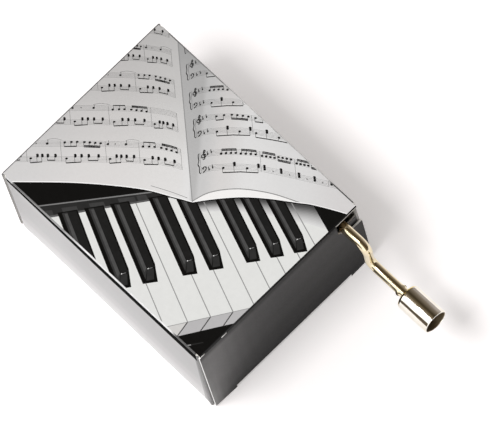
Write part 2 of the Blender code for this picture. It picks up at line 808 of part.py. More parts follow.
def cylinder_group():
    pieces = [
        cylinder(),
        end_disc("cylinder_disc_left", CYLINDER_Y0 + GAP),
        end_disc("cylinder_disc_right", CYLINDER_Y1 - GAP - DISC_THICKNESS),
        arbor(),
        worm_wheel(),
    ]
    joint_empty("cylinder_axis", (AXIS_X, 0.0, AXIS_Z), pieces)


# Crank: worm shaft, bent rod, retainer and knob

def worm_shaft():
    """The worm with its two journals and the socket that takes the crank rod."""
    start = AXIS_X - HOUSING_OUTER_X
    collar = HOUSING_INNER_X - GAP
    bore = ROD_RADIUS + SHAFT_FIT
    boss = bore + SOCKET_WALL
    socket = SOCKET_START_X - AXIS_X
    profile = [
        (0.0, socket + SOCKET_STUB),
        (bore, socket + SOCKET_STUB),
        (bore, socket + SOCKET_STUB + SOCKET_DEPTH),
        (boss, socket + SOCKET_STUB + SOCKET_DEPTH),
        (boss, socket),
        (JOURNAL_RADIUS, socket),
        (JOURNAL_RADIUS, collar),
        (COLLAR_RADIUS, collar),
        (COLLAR_RADIUS, collar - COLLAR_LENGTH),
        (WORM_CORE_RADIUS, collar - COLLAR_LENGTH),
        (WORM_CORE_RADIUS, COLLAR_LENGTH - collar),
        (COLLAR_RADIUS, COLLAR_LENGTH - collar),
        (COLLAR_RADIUS, -collar),
        (JOURNAL_RADIUS, -collar),
        (JOURNAL_RADIUS, start - AXIS_X),
        (0.0, start - AXIS_X),
    ]
    made = turned("worm_shaft", NYLON, profile, (AXIS_X, CRANK_Y, CRANK_Z), ALONG_X, steps=24)
    boolean(made, worm_thread(), "UNION")
    return made


def worm_thread():
    """One right-handed thread, with a gap centred over the wheel's top tooth."""
    root = WORM_CORE_RADIUS - GAP
    turn = math.pi * THREAD_TURNS
    start_x = AXIS_X - WORM_PITCH * THREAD_TURNS / 2
    start_turn = Matrix.Rotation(math.pi - turn, 3, "X")
    flank = (
        (root, -THREAD_FOOT / 2),
        (WORM_TIP_RADIUS, -THREAD_TOP / 2),
        (WORM_TIP_RADIUS, THREAD_TOP / 2),
        (root, THREAD_FOOT / 2),
    )
    shape = bmesh.new()
    ring = []
    for radius, along in flank:
        point = start_turn @ Vector((0.0, 0.0, -radius))
        point += Vector((start_x + along, CRANK_Y, CRANK_Z))
        ring.append(shape.verts.new(point))
    face = shape.faces.new(ring)
    steps = round(THREAD_STEPS * THREAD_TURNS)
    bmesh.ops.spin(
        shape,
        geom=[face],
        cent=(AXIS_X, CRANK_Y, CRANK_Z),
        axis=(1.0, 0.0, 0.0),
        dvec=(WORM_PITCH * THREAD_TURNS / steps, 0.0, 0.0),
        angle=2.0 * turn,
        steps=steps,
        use_duplicate=False,
    )
    return shape


def crank_rod():
    """The round rod, bent down and out again, with two ears pinched up by the knob."""
    end_x = KNOB_X + KNOB_END_WALL + GAP + RETAINER_THICKNESS + ROD_END_STICKOUT
    path = [(ROD_START_X, CRANK_Z)]
    path += arc((ARM_X - BEND_RADIUS, CRANK_Z - BEND_RADIUS), BEND_RADIUS, 90.0, 0.0, 9)
    path += arc((ARM_X + BEND_RADIUS, KNOB_Z + BEND_RADIUS), BEND_RADIUS, 180.0, 270.0, 9)
    path.append((end_x, KNOB_Z))
    curve = bpy.data.curves.new("crank_rod", "CURVE")
    curve.dimensions = "3D"
    curve.bevel_depth = ROD_RADIUS
    curve.bevel_resolution = 4
    curve.use_fill_caps = True
    spline = curve.splines.new("POLY")
    spline.points.add(len(path) - 1)
    for point, (x, z) in zip(spline.points, path):
        point.co = (x, CRANK_Y, z, 1.0)
    made = as_mesh(add_part("crank_rod", curve, PLATING))
    ears = bmesh.new()
    ear_x = KNOB_X - EAR_SETBACK
    for side in (-1, 1):
        y = CRANK_Y + side * (ROD_RADIUS - EAR_HEIGHT / 2)
        size = Matrix.Diagonal((EAR_LENGTH / 2, EAR_HEIGHT, EAR_WIDTH / 2, 1.0))
        fit = Matrix.Translation((ear_x, y, KNOB_Z)) @ size
        bmesh.ops.create_uvsphere(ears, u_segments=8, v_segments=6, radius=1.0, matrix=fit)
    boolean(made, ears, "UNION")
    return made


def retainer():
    """A push-on ring that stops the knob from sliding off the rod."""
    inner = ROD_RADIUS + SHAFT_FIT
    outer = KNOB_BORE - RETAINER_PLAY
    profile = [(outer, RETAINER_THICKNESS), (outer, 0.0), (inner, 0.0), (inner, RETAINER_THICKNESS)]
    place = (KNOB_X + KNOB_END_WALL + GAP, CRANK_Y, KNOB_Z)
    return turned("knob_retainer", STEEL, profile, place, ALONG_X, closed=True, steps=24)


def knob():
    """A thin turned cap, open at its outer end, that spins on the rod."""
    hole = ROD_RADIUS + KNOB_PLAY
    rim = KNOB_WALL / 3
    nose = []
    for i in range(5):
        angle = math.radians(90.0 * i / 4)
        radius = KNOB_RADIUS - KNOB_NOSE_STEP * (1.0 - math.cos(angle))
        nose.append((radius, KNOB_NOSE_LENGTH * (1.0 - math.sin(angle))))
    profile = [
        (KNOB_BORE, KNOB_LENGTH),
        (KNOB_RADIUS - rim, KNOB_LENGTH),
        (KNOB_RADIUS, KNOB_LENGTH - rim),
        *nose,
        (hole, 0.0),
        (hole, KNOB_END_WALL),
        (KNOB_BORE, KNOB_END_WALL),
    ]
    return turned("knob", PLATING, profile, (KNOB_X, CRANK_Y, KNOB_Z), ALONG_X, closed=True, steps=32)


def crank_group():
    joint_empty("crank_axis", (HALF_LENGTH, CRANK_Y, CRANK_Z), [worm_shaft(), crank_rod(), retainer()])
    joint_empty("knob_axis", (KNOB_X, CRANK_Y, KNOB_Z), [knob()])


carton()
riser_block()
base_plate()
comb()
bearing_bracket()
worm_housing()
fixed_screws()
cylinder_group()
crank_group()
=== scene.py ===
# %% [markdown]
# Hand-cranked music box in a printed carton
#
# A small comb-and-cylinder movement sits in a folded carton. A bent metal crank
# with a turned knob comes out of one end. The lid carries a printed picture of an
# open music book above a piano keyboard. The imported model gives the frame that
# every piece here is placed in, in metres.

import json
import math

import bmesh
import bpy
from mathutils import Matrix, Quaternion, Vector
from mathutils.geometry import delaunay_2d_cdt


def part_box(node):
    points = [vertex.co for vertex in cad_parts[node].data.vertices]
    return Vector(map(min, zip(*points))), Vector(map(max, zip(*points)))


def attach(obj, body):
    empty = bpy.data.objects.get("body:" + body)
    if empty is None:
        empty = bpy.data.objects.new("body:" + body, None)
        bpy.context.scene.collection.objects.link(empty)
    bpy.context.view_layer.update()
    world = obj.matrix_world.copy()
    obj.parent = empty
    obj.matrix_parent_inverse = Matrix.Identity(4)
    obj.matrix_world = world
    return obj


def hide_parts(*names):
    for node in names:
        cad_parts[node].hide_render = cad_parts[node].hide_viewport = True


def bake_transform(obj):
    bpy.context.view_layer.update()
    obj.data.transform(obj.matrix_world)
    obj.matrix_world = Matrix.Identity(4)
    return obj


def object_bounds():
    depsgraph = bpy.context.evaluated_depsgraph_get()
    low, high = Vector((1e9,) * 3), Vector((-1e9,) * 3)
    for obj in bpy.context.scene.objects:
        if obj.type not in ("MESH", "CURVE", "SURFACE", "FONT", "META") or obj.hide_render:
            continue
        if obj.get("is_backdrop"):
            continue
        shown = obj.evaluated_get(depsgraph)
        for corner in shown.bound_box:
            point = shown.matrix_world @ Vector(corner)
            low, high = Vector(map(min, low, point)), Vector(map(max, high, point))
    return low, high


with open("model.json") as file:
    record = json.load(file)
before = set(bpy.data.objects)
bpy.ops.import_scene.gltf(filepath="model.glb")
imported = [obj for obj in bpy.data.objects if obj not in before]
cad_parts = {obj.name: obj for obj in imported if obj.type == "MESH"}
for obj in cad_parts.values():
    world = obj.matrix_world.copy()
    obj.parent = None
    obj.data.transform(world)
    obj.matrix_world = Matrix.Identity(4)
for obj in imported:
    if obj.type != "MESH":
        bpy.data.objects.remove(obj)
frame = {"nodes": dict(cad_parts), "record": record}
cad_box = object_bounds()
MM = 0.001

# %% [markdown]
# Camera
#
# The photograph was taken from high above with a long lens, so parallel edges
# nearly stay parallel. The camera could be turned by trial. It is placed by the
# carton's measured corners instead, as its own place, the point that it looks at
# and a roll, so that each value says what it does.

# %% Camera
LOOK_AT = Vector((9.536, 10.366, 16.5)) * MM
CAMERA_PLACE = Vector((669.974, -330.888, 1931.015)) * MM
CAMERA_ROLL = math.radians(-18.219)
LENS = 658.694
FILM_WIDTH = 36.0
SEEN_FROM, SEEN_TO = 0.05, 20.0

scene = bpy.context.scene


def added(name, data):
    """An object of some data, linked to the scene."""
    made = bpy.data.objects.new(name, data)
    scene.collection.objects.link(made)
    return made


def aimed(made, place, sight, roll=0.0):
    """Put a camera or a lamp in its place and point it along a sight."""
    made.location = place
    made.rotation_mode = "QUATERNION"
    made.rotation_quaternion = sight.to_track_quat("-Z", "Y") @ Quaternion((0.0, 0.0, 1.0), roll)


camera_data = bpy.data.cameras.new("photo_camera")
camera_data.lens = LENS
camera_data.sensor_width = FILM_WIDTH
camera_data.clip_start = SEEN_FROM
camera_data.clip_end = SEEN_TO
camera = added("photo_camera", camera_data)
aimed(camera, CAMERA_PLACE, (LOOK_AT - CAMERA_PLACE).normalized(), CAMERA_ROLL)
scene.camera = camera
print("camera distance", round((LOOK_AT - CAMERA_PLACE).length, 3))

# %% [markdown]
# Nodes
#
# The room, the floor and every finish are networks of shader nodes. They could be
# wired one link at a time. Here one helper makes a node and takes a value or a
# feeding socket for each input, so that a network reads like a formula.

# %% Node helpers
def wire(owner, made, inputs):
    """Give each input its value, or join it to the socket that feeds it."""
    for key, value in inputs.items():
        if isinstance(value, bpy.types.NodeSocket):
            owner.node_tree.links.new(value, made.inputs[key])
        else:
            made.inputs[key].default_value = value


def node(owner, kind, inputs=None, **settings):
    made = owner.node_tree.nodes.new(kind)
    for key, value in settings.items():
        setattr(made, key, value)
    wire(owner, made, inputs or {})
    return made


def calculated(owner, operation, first, second=0.0):
    return node(owner, "ShaderNodeMath", {0: first, 1: second}, operation=operation).outputs["Value"]


def dot_product(owner, place, axis):
    return node(owner, "ShaderNodeVectorMath", {0: place, 1: axis}, operation="DOT_PRODUCT").outputs["Value"]


def mixed(owner, kind, first, second, factor=1.0):
    inputs = {"Factor": factor, "A": first, "B": second}
    return node(owner, "ShaderNodeMix", inputs, data_type="RGBA", blend_type=kind).outputs["Result"]


def fade(owner, distance, stops, kind="EASE"):
    """A ramp over a distance; stops are (place, colour), and one number is a grey."""
    first, last = stops[0][0], stops[-1][0]
    span = node(owner, "ShaderNodeMapRange", {"Value": distance, "From Min": first, "From Max": last})
    ramp = node(owner, "ShaderNodeValToRGB", {"Fac": span.outputs["Result"]})
    ramp.color_ramp.interpolation = kind
    elements = ramp.color_ramp.elements
    for index, (place, color) in enumerate(stops):
        share = (place - first) / (last - first)
        element = elements[index] if index < 2 else elements.new(share)
        element.position = share
        element.color = gray(color) if isinstance(color, float) else (*color[:3], 1.0)
    return ramp.outputs["Color"]


def gray(value):
    return (value, value, value, 1.0)


def surface(finish, inputs):
    """Set or feed inputs of the one Principled shader that a finish has."""
    wire(finish, finish.node_tree.nodes["Principled BSDF"], inputs)


def new_finish(name, roughness, metallic=0.0):
    made = bpy.data.materials.new(name)
    made.use_nodes = True
    surface(made, {"Roughness": roughness, "Metallic": metallic})
    return made


print("a grey of 0.5 is", gray(0.5))

# %% [markdown]
# Light and room
#
# The photograph has one wide soft lamp on the near side and a pale room. Several
# small lamps would do, but they leave crossing shadows. One area lamp, long along
# the carton, gives the single soft shadow to the right. The room is a plain
# gradient for the light that it gives. Bright metal sees it as a studio with a
# long white screen on the near side, a dark brown ceiling and a paler far wall.

# %% Light and room
scene.view_settings.view_transform = "Standard"

LAMP_FROM = Vector((-0.05, -0.42, 1.0)).normalized()
LAMP_DISTANCE = 1.5
LAMP_LENGTH = 0.62
LAMP_WIDTH = 0.36
LAMP_POWER = 10.2
ROOM_STRENGTH = 1.2
FAR_SIDE = Vector((0.35, 0.75, 0.55)).normalized()
ROOM_LIGHT = [(-1.0, 0.95), (0.10, (0.72, 0.72, 0.73)), (0.56, (0.30, 0.28, 0.26)), (1.0, (0.10, 0.09, 0.08))]
SCREEN = (1.40, 1.40, 1.36)
MIRRORED_ROOM = [
    (-1.00, (0.14, 0.11, 0.08)),
    (-0.90, (0.06, 0.045, 0.03)),
    (-0.85, SCREEN),
    (-0.46, SCREEN),
    (-0.34, (0.28, 0.23, 0.17)),
    (0.00, (0.13, 0.10, 0.06)),
    (0.25, (0.045, 0.033, 0.018)),
    (0.40, (0.055, 0.042, 0.025)),
    (0.80, (0.18, 0.15, 0.12)),
    (1.00, (0.42, 0.39, 0.38)),
]

lamp_data = bpy.data.lights.new("soft_lamp", "AREA")
lamp_data.shape = "RECTANGLE"
lamp_data.size = LAMP_LENGTH
lamp_data.size_y = LAMP_WIDTH
lamp_data.energy = LAMP_POWER
aimed(added("soft_lamp", lamp_data), LAMP_FROM * LAMP_DISTANCE, -LAMP_FROM)

room = bpy.data.worlds.new("room")
room.use_nodes = True
scene.world = room
room.node_tree.nodes.clear()
direction = node(room, "ShaderNodeTexCoord").outputs["Generated"]
side = node(room, "ShaderNodeSeparateXYZ", {"Vector": direction}).outputs["Y"]
plain_room = fade(room, dot_product(room, direction, FAR_SIDE), ROOM_LIGHT, "LINEAR")
mirrored_room = fade(room, side, MIRRORED_ROOM, "LINEAR")
rays = node(room, "ShaderNodeLightPath").outputs
in_metal = mixed(room, "MIX", plain_room, mirrored_room, rays["Is Glossy Ray"])
seen = mixed(room, "MIX", in_metal, gray(1.0 / ROOM_STRENGTH), rays["Is Camera Ray"])
background = node(room, "ShaderNodeBackground", {"Color": seen, "Strength": ROOM_STRENGTH})
node(room, "ShaderNodeOutputWorld", {"Surface": background.outputs["Background"]})
print("lamp", LAMP_POWER, "W at", LAMP_DISTANCE, "m")

# %% [markdown]
# Floor
#
# The carton lies on bare white. A lit white floor would throw too much light back
# under the crank, and a grey one would show. So the floor is white where the
# camera or a glossy surface sees it, and greyer for the light that it throws back.

# %% Floor
FLOOR_HALF = 0.8
FLOOR_LIFT = 0.275
FLOOR_LIT = (0.62, 0.60, 0.60, 1.0)
FLOOR_SEEN = (0.985, 0.950, 0.950, 1.0)

floor_mesh = bpy.data.meshes.new("floor")
floor_corners = [(x * FLOOR_HALF, y * FLOOR_HALF, 0.0) for x, y in ((-1, -1), (1, -1), (1, 1), (-1, 1))]
floor_mesh.from_pydata(floor_corners, [], [(0, 1, 2, 3)])
floor = added("floor", floor_mesh)
paper = new_finish("floor_paper", 1.0)
rays = node(paper, "ShaderNodeLightPath").outputs
shows = rays["Is Camera Ray"]
for kind in ("Is Glossy Ray", "Is Transmission Ray"):
    shows = calculated(paper, "MAXIMUM", shows, rays[kind])
surface(paper, {"Base Color": mixed(paper, "MIX", FLOOR_LIT, FLOOR_SEEN, shows), "Specular IOR Level": 0.0})
glow = calculated(paper, "MULTIPLY", shows, FLOOR_LIFT)
surface(paper, {"Emission Color": gray(1.0), "Emission Strength": glow})
floor_mesh.materials.append(paper)
floor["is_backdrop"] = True
print("floor", 2 * FLOOR_HALF, "m wide")

# %% [markdown]
# Colours and finishes
#
# Every finish here starts as one Principled shader. A flat colour would look like
# plastic, so each gets a fine mottle in its colour, a change in its roughness and
# a slight bump from noise, at the size that the real surface has. Tones are given
# as they look on a screen, 0 to 255, and turned into the linear values that the
# shader wants.

# %% Colour and noise helpers
X_AXIS, Y_AXIS, Z_AXIS = (1.0, 0.0, 0.0), (0.0, 1.0, 0.0), (0.0, 0.0, 1.0)
EVEN = (1.0, 1.0, 1.0)
NOISE_LOW, NOISE_HIGH = 0.3, 0.7


def tone(*shown):
    """A screen colour from 0 to 255 as a linear colour; one number is a grey."""
    made = []
    for value in shown if len(shown) == 3 else shown * 3:
        part = value / 255.0
        made.append(part / 12.92 if part <= 0.04045 else ((part + 0.055) / 1.055) ** 2.4)
    return (*made, 1.0)


def tones(*stops):
    """Stops of a ramp from places and screen colours."""
    return [(place, tone(*shown)) for place, *shown in stops]


def noise(finish, scale, detail=2.0, stretch=EVEN):
    """Noise over the piece's own coordinates; scale is repeats in a metre."""
    place = node(finish, "ShaderNodeTexCoord").outputs["Object"]
    fit = node(finish, "ShaderNodeMapping", {"Vector": place, "Scale": stretch}).outputs["Vector"]
    made = node(finish, "ShaderNodeTexNoise", {"Vector": fit, "Scale": scale, "Detail": detail})
    return made.outputs["Fac"]


def speckled(finish, low, high, scale, detail=2.0, stretch=EVEN):
    """A colour that noise moves between a low and a high one."""
    ramp = node(finish, "ShaderNodeValToRGB", {"Fac": noise(finish, scale, detail, stretch)})
    for element, place, color in zip(ramp.color_ramp.elements, (NOISE_LOW, NOISE_HIGH), (low, high)):
        element.position = place
        element.color = color
    return ramp.outputs["Color"]


def mottled(finish, color, scale, amount, detail=2.0, stretch=EVEN):
    """Let noise move a colour up and down by a share of itself."""
    low = [part * (1.0 - amount) for part in color[:3]]
    high = [min(part * (1.0 + amount), 1.0) for part in color[:3]]
    surface(finish, {"Base Color": speckled(finish, (*low, 1.0), (*high, 1.0), scale, detail, stretch)})


def rough_by_noise(finish, low, high, scale, stretch=EVEN):
    inputs = {"Value": noise(finish, scale, 3.0, stretch), "From Min": NOISE_LOW, "From Max": NOISE_HIGH}
    span = node(finish, "ShaderNodeMapRange", {**inputs, "To Min": low, "To Max": high})
    surface(finish, {"Roughness": span.outputs["Result"]})


def bumped(finish, scale, height, strength=1.0, stretch=EVEN):
    """A relief from noise; height is in millimetres."""
    inputs = {"Height": noise(finish, scale, 3.0, stretch), "Strength": strength, "Distance": height * MM}
    surface(finish, {"Normal": node(finish, "ShaderNodeBump", inputs).outputs["Normal"]})


def along(finish, axis, offset=0.0):
    """How far a point lies along an axis of the piece, in metres."""
    place = node(finish, "ShaderNodeTexCoord").outputs["Object"]
    return calculated(finish, "ADD", dot_product(finish, place, axis), offset)


def multiplied(finish, product, *others):
    for other in others:
        product = mixed(finish, "MULTIPLY", product, other)
    return product


def grained(finish, color, scale, low):
    """Multiply a colour by a fine grain that runs from low up to 1."""
    grain = speckled(finish, gray(low), gray(1.0), scale)
    surface(finish, {"Base Color": multiplied(finish, color, grain)})


print("mid grey 188 is", round(tone(188)[0], 3))

# %% [markdown]
# Printed inks
#
# The carton is coated board with a flat offset print, so every ink has the same
# satin varnish and only its colour differs. One image texture would be usual. The
# print is drawn instead as flat polygons, each with its own ink, so its edges stay
# sharp in any view. The two pages also darken towards the spine and the far edge,
# as the printed picture does.

# %% Printed inks
FAINT = 0.015
ACROSS_BOOK = (0.7547, 0.6569, 0.0)
UP_BOOK = (-0.6790, 0.7361, 0.0)
SPINE_OFFSET = -0.003274
BOOK_OFFSET = 0.003073
LEFT_UP_STOPS = [(0.000, 1.0), (0.008, 0.97), (0.018, 0.85), (0.028, 0.74), (0.042, 0.66)]
RIGHT_UP_STOPS = [(0.000, 1.0), (0.008, 0.99), (0.018, 0.95), (0.029, 0.88), (0.037, 0.76), (0.044, 0.58)]
LEFT_STOPS = tones((-0.041, 218, 217, 217), (-0.020, 227, 225, 224), (-0.004, 231, 230, 229))
LEFT_STOPS += tones((-0.0012, 233), (0.0, 205))
RIGHT_STOPS = tones((0.0, 190), (0.0015, 208), (0.006, 222, 220, 219), (0.012, 231), (0.022, 226))
RIGHT_STOPS += tones((0.034, 219, 217, 217))


def printed_ink(name, color, mottle=FAINT):
    made = new_finish(name, 0.32)
    mottled(made, color, 900.0, mottle)
    bumped(made, 2500.0, 0.002)
    surface(made, {"Specular IOR Level": 0.2})
    return made


def page_ink(name, across_stops, up_stops):
    made = printed_ink(name, tone(230))
    across = fade(made, along(made, ACROSS_BOOK, SPINE_OFFSET), across_stops)
    up = fade(made, along(made, UP_BOOK, BOOK_OFFSET), up_stops)
    grained(made, multiplied(made, across, up), 1400.0, 0.975)
    return made


# Each ink has its mottle, then its screen colour.
INK_TONES = {
    "black_lacquer": (0.15, 11),
    "key_white": (FAINT, 230, 231, 229),
    "key_glint": (FAINT, 250),
    "key_seam": (FAINT, 150),
    "key_front": (FAINT, 188, 187, 188),
    "key_front_light": (FAINT, 212, 211, 209),
    "key_front_line": (FAINT, 60),
    "sharp_outline": (0.15, 5),
    "sharp_side": (0.12, 54),
    "sharp_side_light": (0.12, 78),
    "sharp_top": (0.12, 28),
    "sharp_front": (0.12, 46),
    "sharp_glint": (FAINT, 150),
    "rail_gray": (FAINT, 128),
    "rail_dark": (0.1, 42),
    "rail_step": (0.1, 62),
    "felt": (0.1, 92),
    "slip_glint": (FAINT, 150),
    "slip_line": (FAINT, 44),
    "under_sheet": (FAINT, 248, 247, 246),
    "sheet_edge": (FAINT, 150),
    "sheet_glint": (FAINT, 252),
    "spine_line": (FAINT, 150),
    "staff_line": (FAINT, 95),
    "note_ink": (0.1, 22),
}
BOOK_SHADOW = (76, 92, 110, 128, 146, 162, 176, 188, 198, 207, 215, 222)
for step, shade in enumerate(BOOK_SHADOW):
    INK_TONES[f"book_shadow_{step}"] = (FAINT, shade)
INKS = {name: printed_ink(name, tone(*shown), mottle) for name, (mottle, *shown) in INK_TONES.items()}
INKS["left_page"] = page_ink("left_page", LEFT_STOPS, LEFT_UP_STOPS)
INKS["right_page"] = page_ink("right_page", RIGHT_STOPS, RIGHT_UP_STOPS)
print(len(INKS), "inks")

# %% [markdown]
# Drawing tools for the print
#
# The print is a list of areas. Each is a polygon in lid millimetres with the name
# of its ink, and a later one covers an earlier one. Overlapping sheets of mesh
# would flicker. A constrained triangulation cuts all the outlines into one flat
# mesh instead, and each triangle takes the ink of the last area that holds it.

# %% Drawing tools
LID_X = 31.62
LID_Y = 24.40
LID_Z = 33.0
areas = []


def area(ink, points):
    """Add a polygon, turned anticlockwise, unless it lies wholly off the lid."""
    if min(x for x, _ in points) > LID_X or max(x for x, _ in points) < -LID_X:
        return
    if min(y for _, y in points) > LID_Y or max(y for _, y in points) < -LID_Y:
        return
    turn = sum(a[0] * b[1] - b[0] * a[1] for a, b in zip(points, [*points[1:], points[0]]))
    areas.append((ink, list(points) if turn > 0 else list(reversed(points))))


def smooth_line(points, steps=6):
    """A curve that passes through all the points."""
    ends = [points[0], *points, points[-1]]
    made = []
    for a, b, c, d in zip(ends, ends[1:], ends[2:], ends[3:]):
        for step in range(steps):
            t = step / steps
            place = []
            for p, q, r, s in zip(a, b, c, d):
                value = 2 * q + (r - p) * t
                value += (2 * p - 5 * q + 4 * r - s) * t * t
                value += (3 * q - p - 3 * r + s) * t * t * t
                place.append(value / 2)
            made.append(tuple(place))
    made.append(tuple(points[-1]))
    return made


def strip(ink, points, width, place):
    """A line of a given width, as one four-sided area for each stretch."""
    for (ax, ay), (bx, by) in zip(points, points[1:]):
        length = math.hypot(bx - ax, by - ay)
        if length < 1e-6:
            continue
        nx, ny = (ay - by) / length * width / 2, (bx - ax) / length * width / 2
        corners = [(ax + nx, ay + ny), (ax - nx, ay - ny), (bx - nx, by - ny), (bx + nx, by + ny)]
        area(ink, [place(x, y) for x, y in corners])


def dot(ink, center, width, height, tilt, place, count=8):
    turn = math.radians(tilt)
    points = []
    for index in range(count):
        angle = 2 * math.pi * index / count
        x, y = width / 2 * math.cos(angle), height / 2 * math.sin(angle)
        u = center[0] + x * math.cos(turn) - y * math.sin(turn)
        v = center[1] + x * math.sin(turn) + y * math.cos(turn)
        points.append(place(u, v))
    area(ink, points)


def lid_place(x, y):
    return (x, y)


area("black_lacquer", [(-LID_X, -LID_Y), (LID_X, -LID_Y), (LID_X, LID_Y), (-LID_X, LID_Y)])
print("print starts with", len(areas), "area")

# %% [markdown]
# Keyboard of the print
#
# A keyboard seen at an angle is regular in its own plane: white keys are one unit
# wide, and black keys stand in groups of two and three. It could be drawn corner
# by corner. It is laid out in key units instead, and one projection carries every
# corner to the lid, so all its lines share the same vanishing points.

# %% Keyboard
KEY_MAP = (
    (3.17838, -29.27882, 20.99821),
    (4.23530, 10.98087, -25.00438),
    (0.010623, 0.085833, 1.0),
)
FIRST_KEY, LAST_KEY = -4, 8
FRONTS = 4
KEYBOARD_END = 8.96
RAIL_END, LACQUER_END = 9, 10
BACK = 1.0
FRONT_DROP = -0.083
FRONT_LEAN = -0.65


def key_place(across, deep):
    """Key units to lid millimetres: across counts white keys, deep runs 0 to 1."""
    x, y, w = (row[0] * across + row[1] * deep + row[2] for row in KEY_MAP)
    return (x / w, y / w)


def key_area(ink, points):
    area(ink, [key_place(*point) for point in points])


def key_band(ink, left, right, near, far_right, far_left):
    """A four-sided area across the keys, between a near and a far edge."""
    key_area(ink, [(left, near), (right, near), (right, far_right), (left, far_left)])


def key_line(ink, start, end, width):
    strip(ink, [key_place(*start), key_place(*end)], width, lid_place)


key_band("key_white", FIRST_KEY, KEYBOARD_END, 0, 1, 1)
KEYS_DRAWN = len(areas)
for key in range(FIRST_KEY, LAST_KEY + 1):
    key_line("key_seam", (key, 0.0), (key, 1.0), 0.22)
for key in range(FRONTS):
    drop = (key + FRONT_LEAN, FRONT_DROP)
    front = [(key, 0), (key + 1, 0), (key + 1 + FRONT_LEAN, FRONT_DROP), drop]
    key_area("key_front" if key else "key_front_light", front)
    key_line("key_front_line", (key, 0.0), drop, 0.24)
key_line("key_seam", (0.0, 0.0), (5.0, 0.0), 0.14)
strip("slip_line", [(28.2, -23.9), (29.9, -21.5)], 0.22, lid_place)
strip("slip_glint", [(27.85, -24.4), (28.3, -23.8)], 0.26, lid_place)
key_band("black_lacquer", FIRST_KEY, LACQUER_END, BACK, 2, 2)
key_band("rail_dark", FIRST_KEY, RAIL_END, BACK, 1.068, 1.105)
key_band("felt", FIRST_KEY, RAIL_END, BACK, 1.012, 1.018)
for left, right in ((-3.3, -2.62), (-2.2, -1.55), (-1.0, -0.35), (0.3, 1.05), (1.15, 1.6)):
    key_band("rail_step", left, right, 1.018, 1.06, 1.066)
key_line("rail_gray", (FIRST_KEY, 1.119), (RAIL_END, 1.02), 0.3)
print(LAST_KEY - FIRST_KEY, "white keys")

# %% [markdown]
# Black keys
#
# Each black key is the same small block seen from its lit left side. It could be
# one black shape. A dark outline, two tones of side, a top, a sloping front and two
# glints are stamped at each place instead, because the print shows them.

# %% Black keys
SHARPS = (-3.72, -2.44, -1.28, -0.13, 1.63, 2.83, 4.56, 5.71, 6.87)
SHARP_AREAS = {
    "sharp_outline": ((0.0, 1.03), (0.0, 0.345), (0.64, 0.339), (0.76, 0.43), (0.83, 0.48), (0.87, 1.03)),
    "sharp_side": ((0.18, 1.02), (0.18, 0.375), (0.42, 0.452), (0.41, 1.02)),
    "sharp_side_light": ((0.27, 1.01), (0.26, 0.43), (0.41, 0.46), (0.40, 1.01)),
    "sharp_top": ((0.42, 1.02), (0.44, 0.455), (0.74, 0.455), (0.80, 1.02)),
    "sharp_front": ((0.42, 0.447), (0.19, 0.363), (0.53, 0.363), (0.70, 0.447)),
}
for left in SHARPS:
    for ink, corners in SHARP_AREAS.items():
        key_area(ink, [(left + across, deep) for across, deep in corners])
    key_line("sharp_glint", (left + 0.45, 0.452), (left + 0.66, 0.455), 0.10)
    key_line("key_glint", (left + 0.44, 0.452), (left + 0.49, 0.454), 0.20)
print(len(SHARPS), "black keys")

# %% [markdown]
# Pages of the print
#
# The open book lies across the far half of the lid, with its spine running away
# from the viewer. Its pages curl, so their lower edges are curves. Straight edges
# would look like a folded card. A few points are joined by a smooth line, with a
# thin pale rim for the paper's thickness and a grey line for the sheet beneath.

# %% Pages
def book_place(u, v):
    """Book millimetres, u to the right and v up the page, to lid millimetres."""
    return (4.421 + 0.7265 * u - 0.7133 * v, -0.096 + 0.6757 * u + 0.6907 * v)


def spine(v):
    return -0.0818 * v


PAGE_TOP = 60.0
LEFT_EDGE = [(-60.0, 4.9), (-40.8, 4.69), (-25.7, 4.5), (-12.0, 3.18), (-4.0, 1.13), (0.0, 0.0)]
RIGHT_EDGE = [(0.0, 0.0), (5.3, 0.82), (11.1, 1.27), (16.9, 0.97), (23.8, 0.0)]
RIGHT_EDGE += [(27.4, -0.54), (34.8, -2.6), (44.0, -6.0)]
LEFT_SHEET = [(-9.4, 3.96), (-5.0, 2.55), (-1.1, 1.06)]
RIGHT_SHEET = [(0.0, 0.3), (3.6, 2.3), (8.2, 3.2), (12.6, 3.15), (18.4, 2.1), (24.2, 0.1)]
CURVE_STEPS = 6
RIM = 0.36
SHADOW_NEAR, SHADOW_STEP, SHADOW_WIDTH = 0.10, 0.17, 1.1

left_edge, right_edge, left_sheet, right_sheet = (
    smooth_line(points, CURVE_STEPS) for points in (LEFT_EDGE, RIGHT_EDGE, LEFT_SHEET, RIGHT_SHEET)
)
left_page = [*left_edge, (spine(PAGE_TOP), PAGE_TOP), (-60.0, PAGE_TOP)]
right_page = [*right_edge, (44.0, PAGE_TOP), (spine(PAGE_TOP), PAGE_TOP)]
under_sheet = [*right_sheet, *reversed(right_edge[: 5 * CURVE_STEPS])]

# The book's shadow lies on the white keys, so it goes under what was drawn on them.
over_keys = areas[KEYS_DRAWN:]
del areas[KEYS_DRAWN:]
for step in reversed(range(len(BOOK_SHADOW))):
    reach = SHADOW_NEAR + SHADOW_STEP * step
    run = [(u, v - reach * (1.0 + max(u, 0.0) / 24.0)) for u, v in right_edge]
    strip(f"book_shadow_{step}", run, SHADOW_WIDTH, book_place)
key_area("black_lacquer", [(KEYBOARD_END, -0.5), (14, -0.5), (14, 1.5), (KEYBOARD_END, 1.5)])
areas.extend(over_keys)
for edge in (left_edge, right_edge):
    strip("sharp_outline", [(u, v - 0.1) for u, v in edge], RIM, book_place)
for ink, sheet in (("left_page", left_page), ("right_page", right_page), ("under_sheet", under_sheet)):
    area(ink, [book_place(*point) for point in sheet])
strip("sheet_edge", right_sheet, 0.24, book_place)
strip("sheet_edge", left_sheet, 0.14, book_place)
strip("sheet_glint", [(u, v + 0.12) for u, v in left_edge], 0.24, book_place)
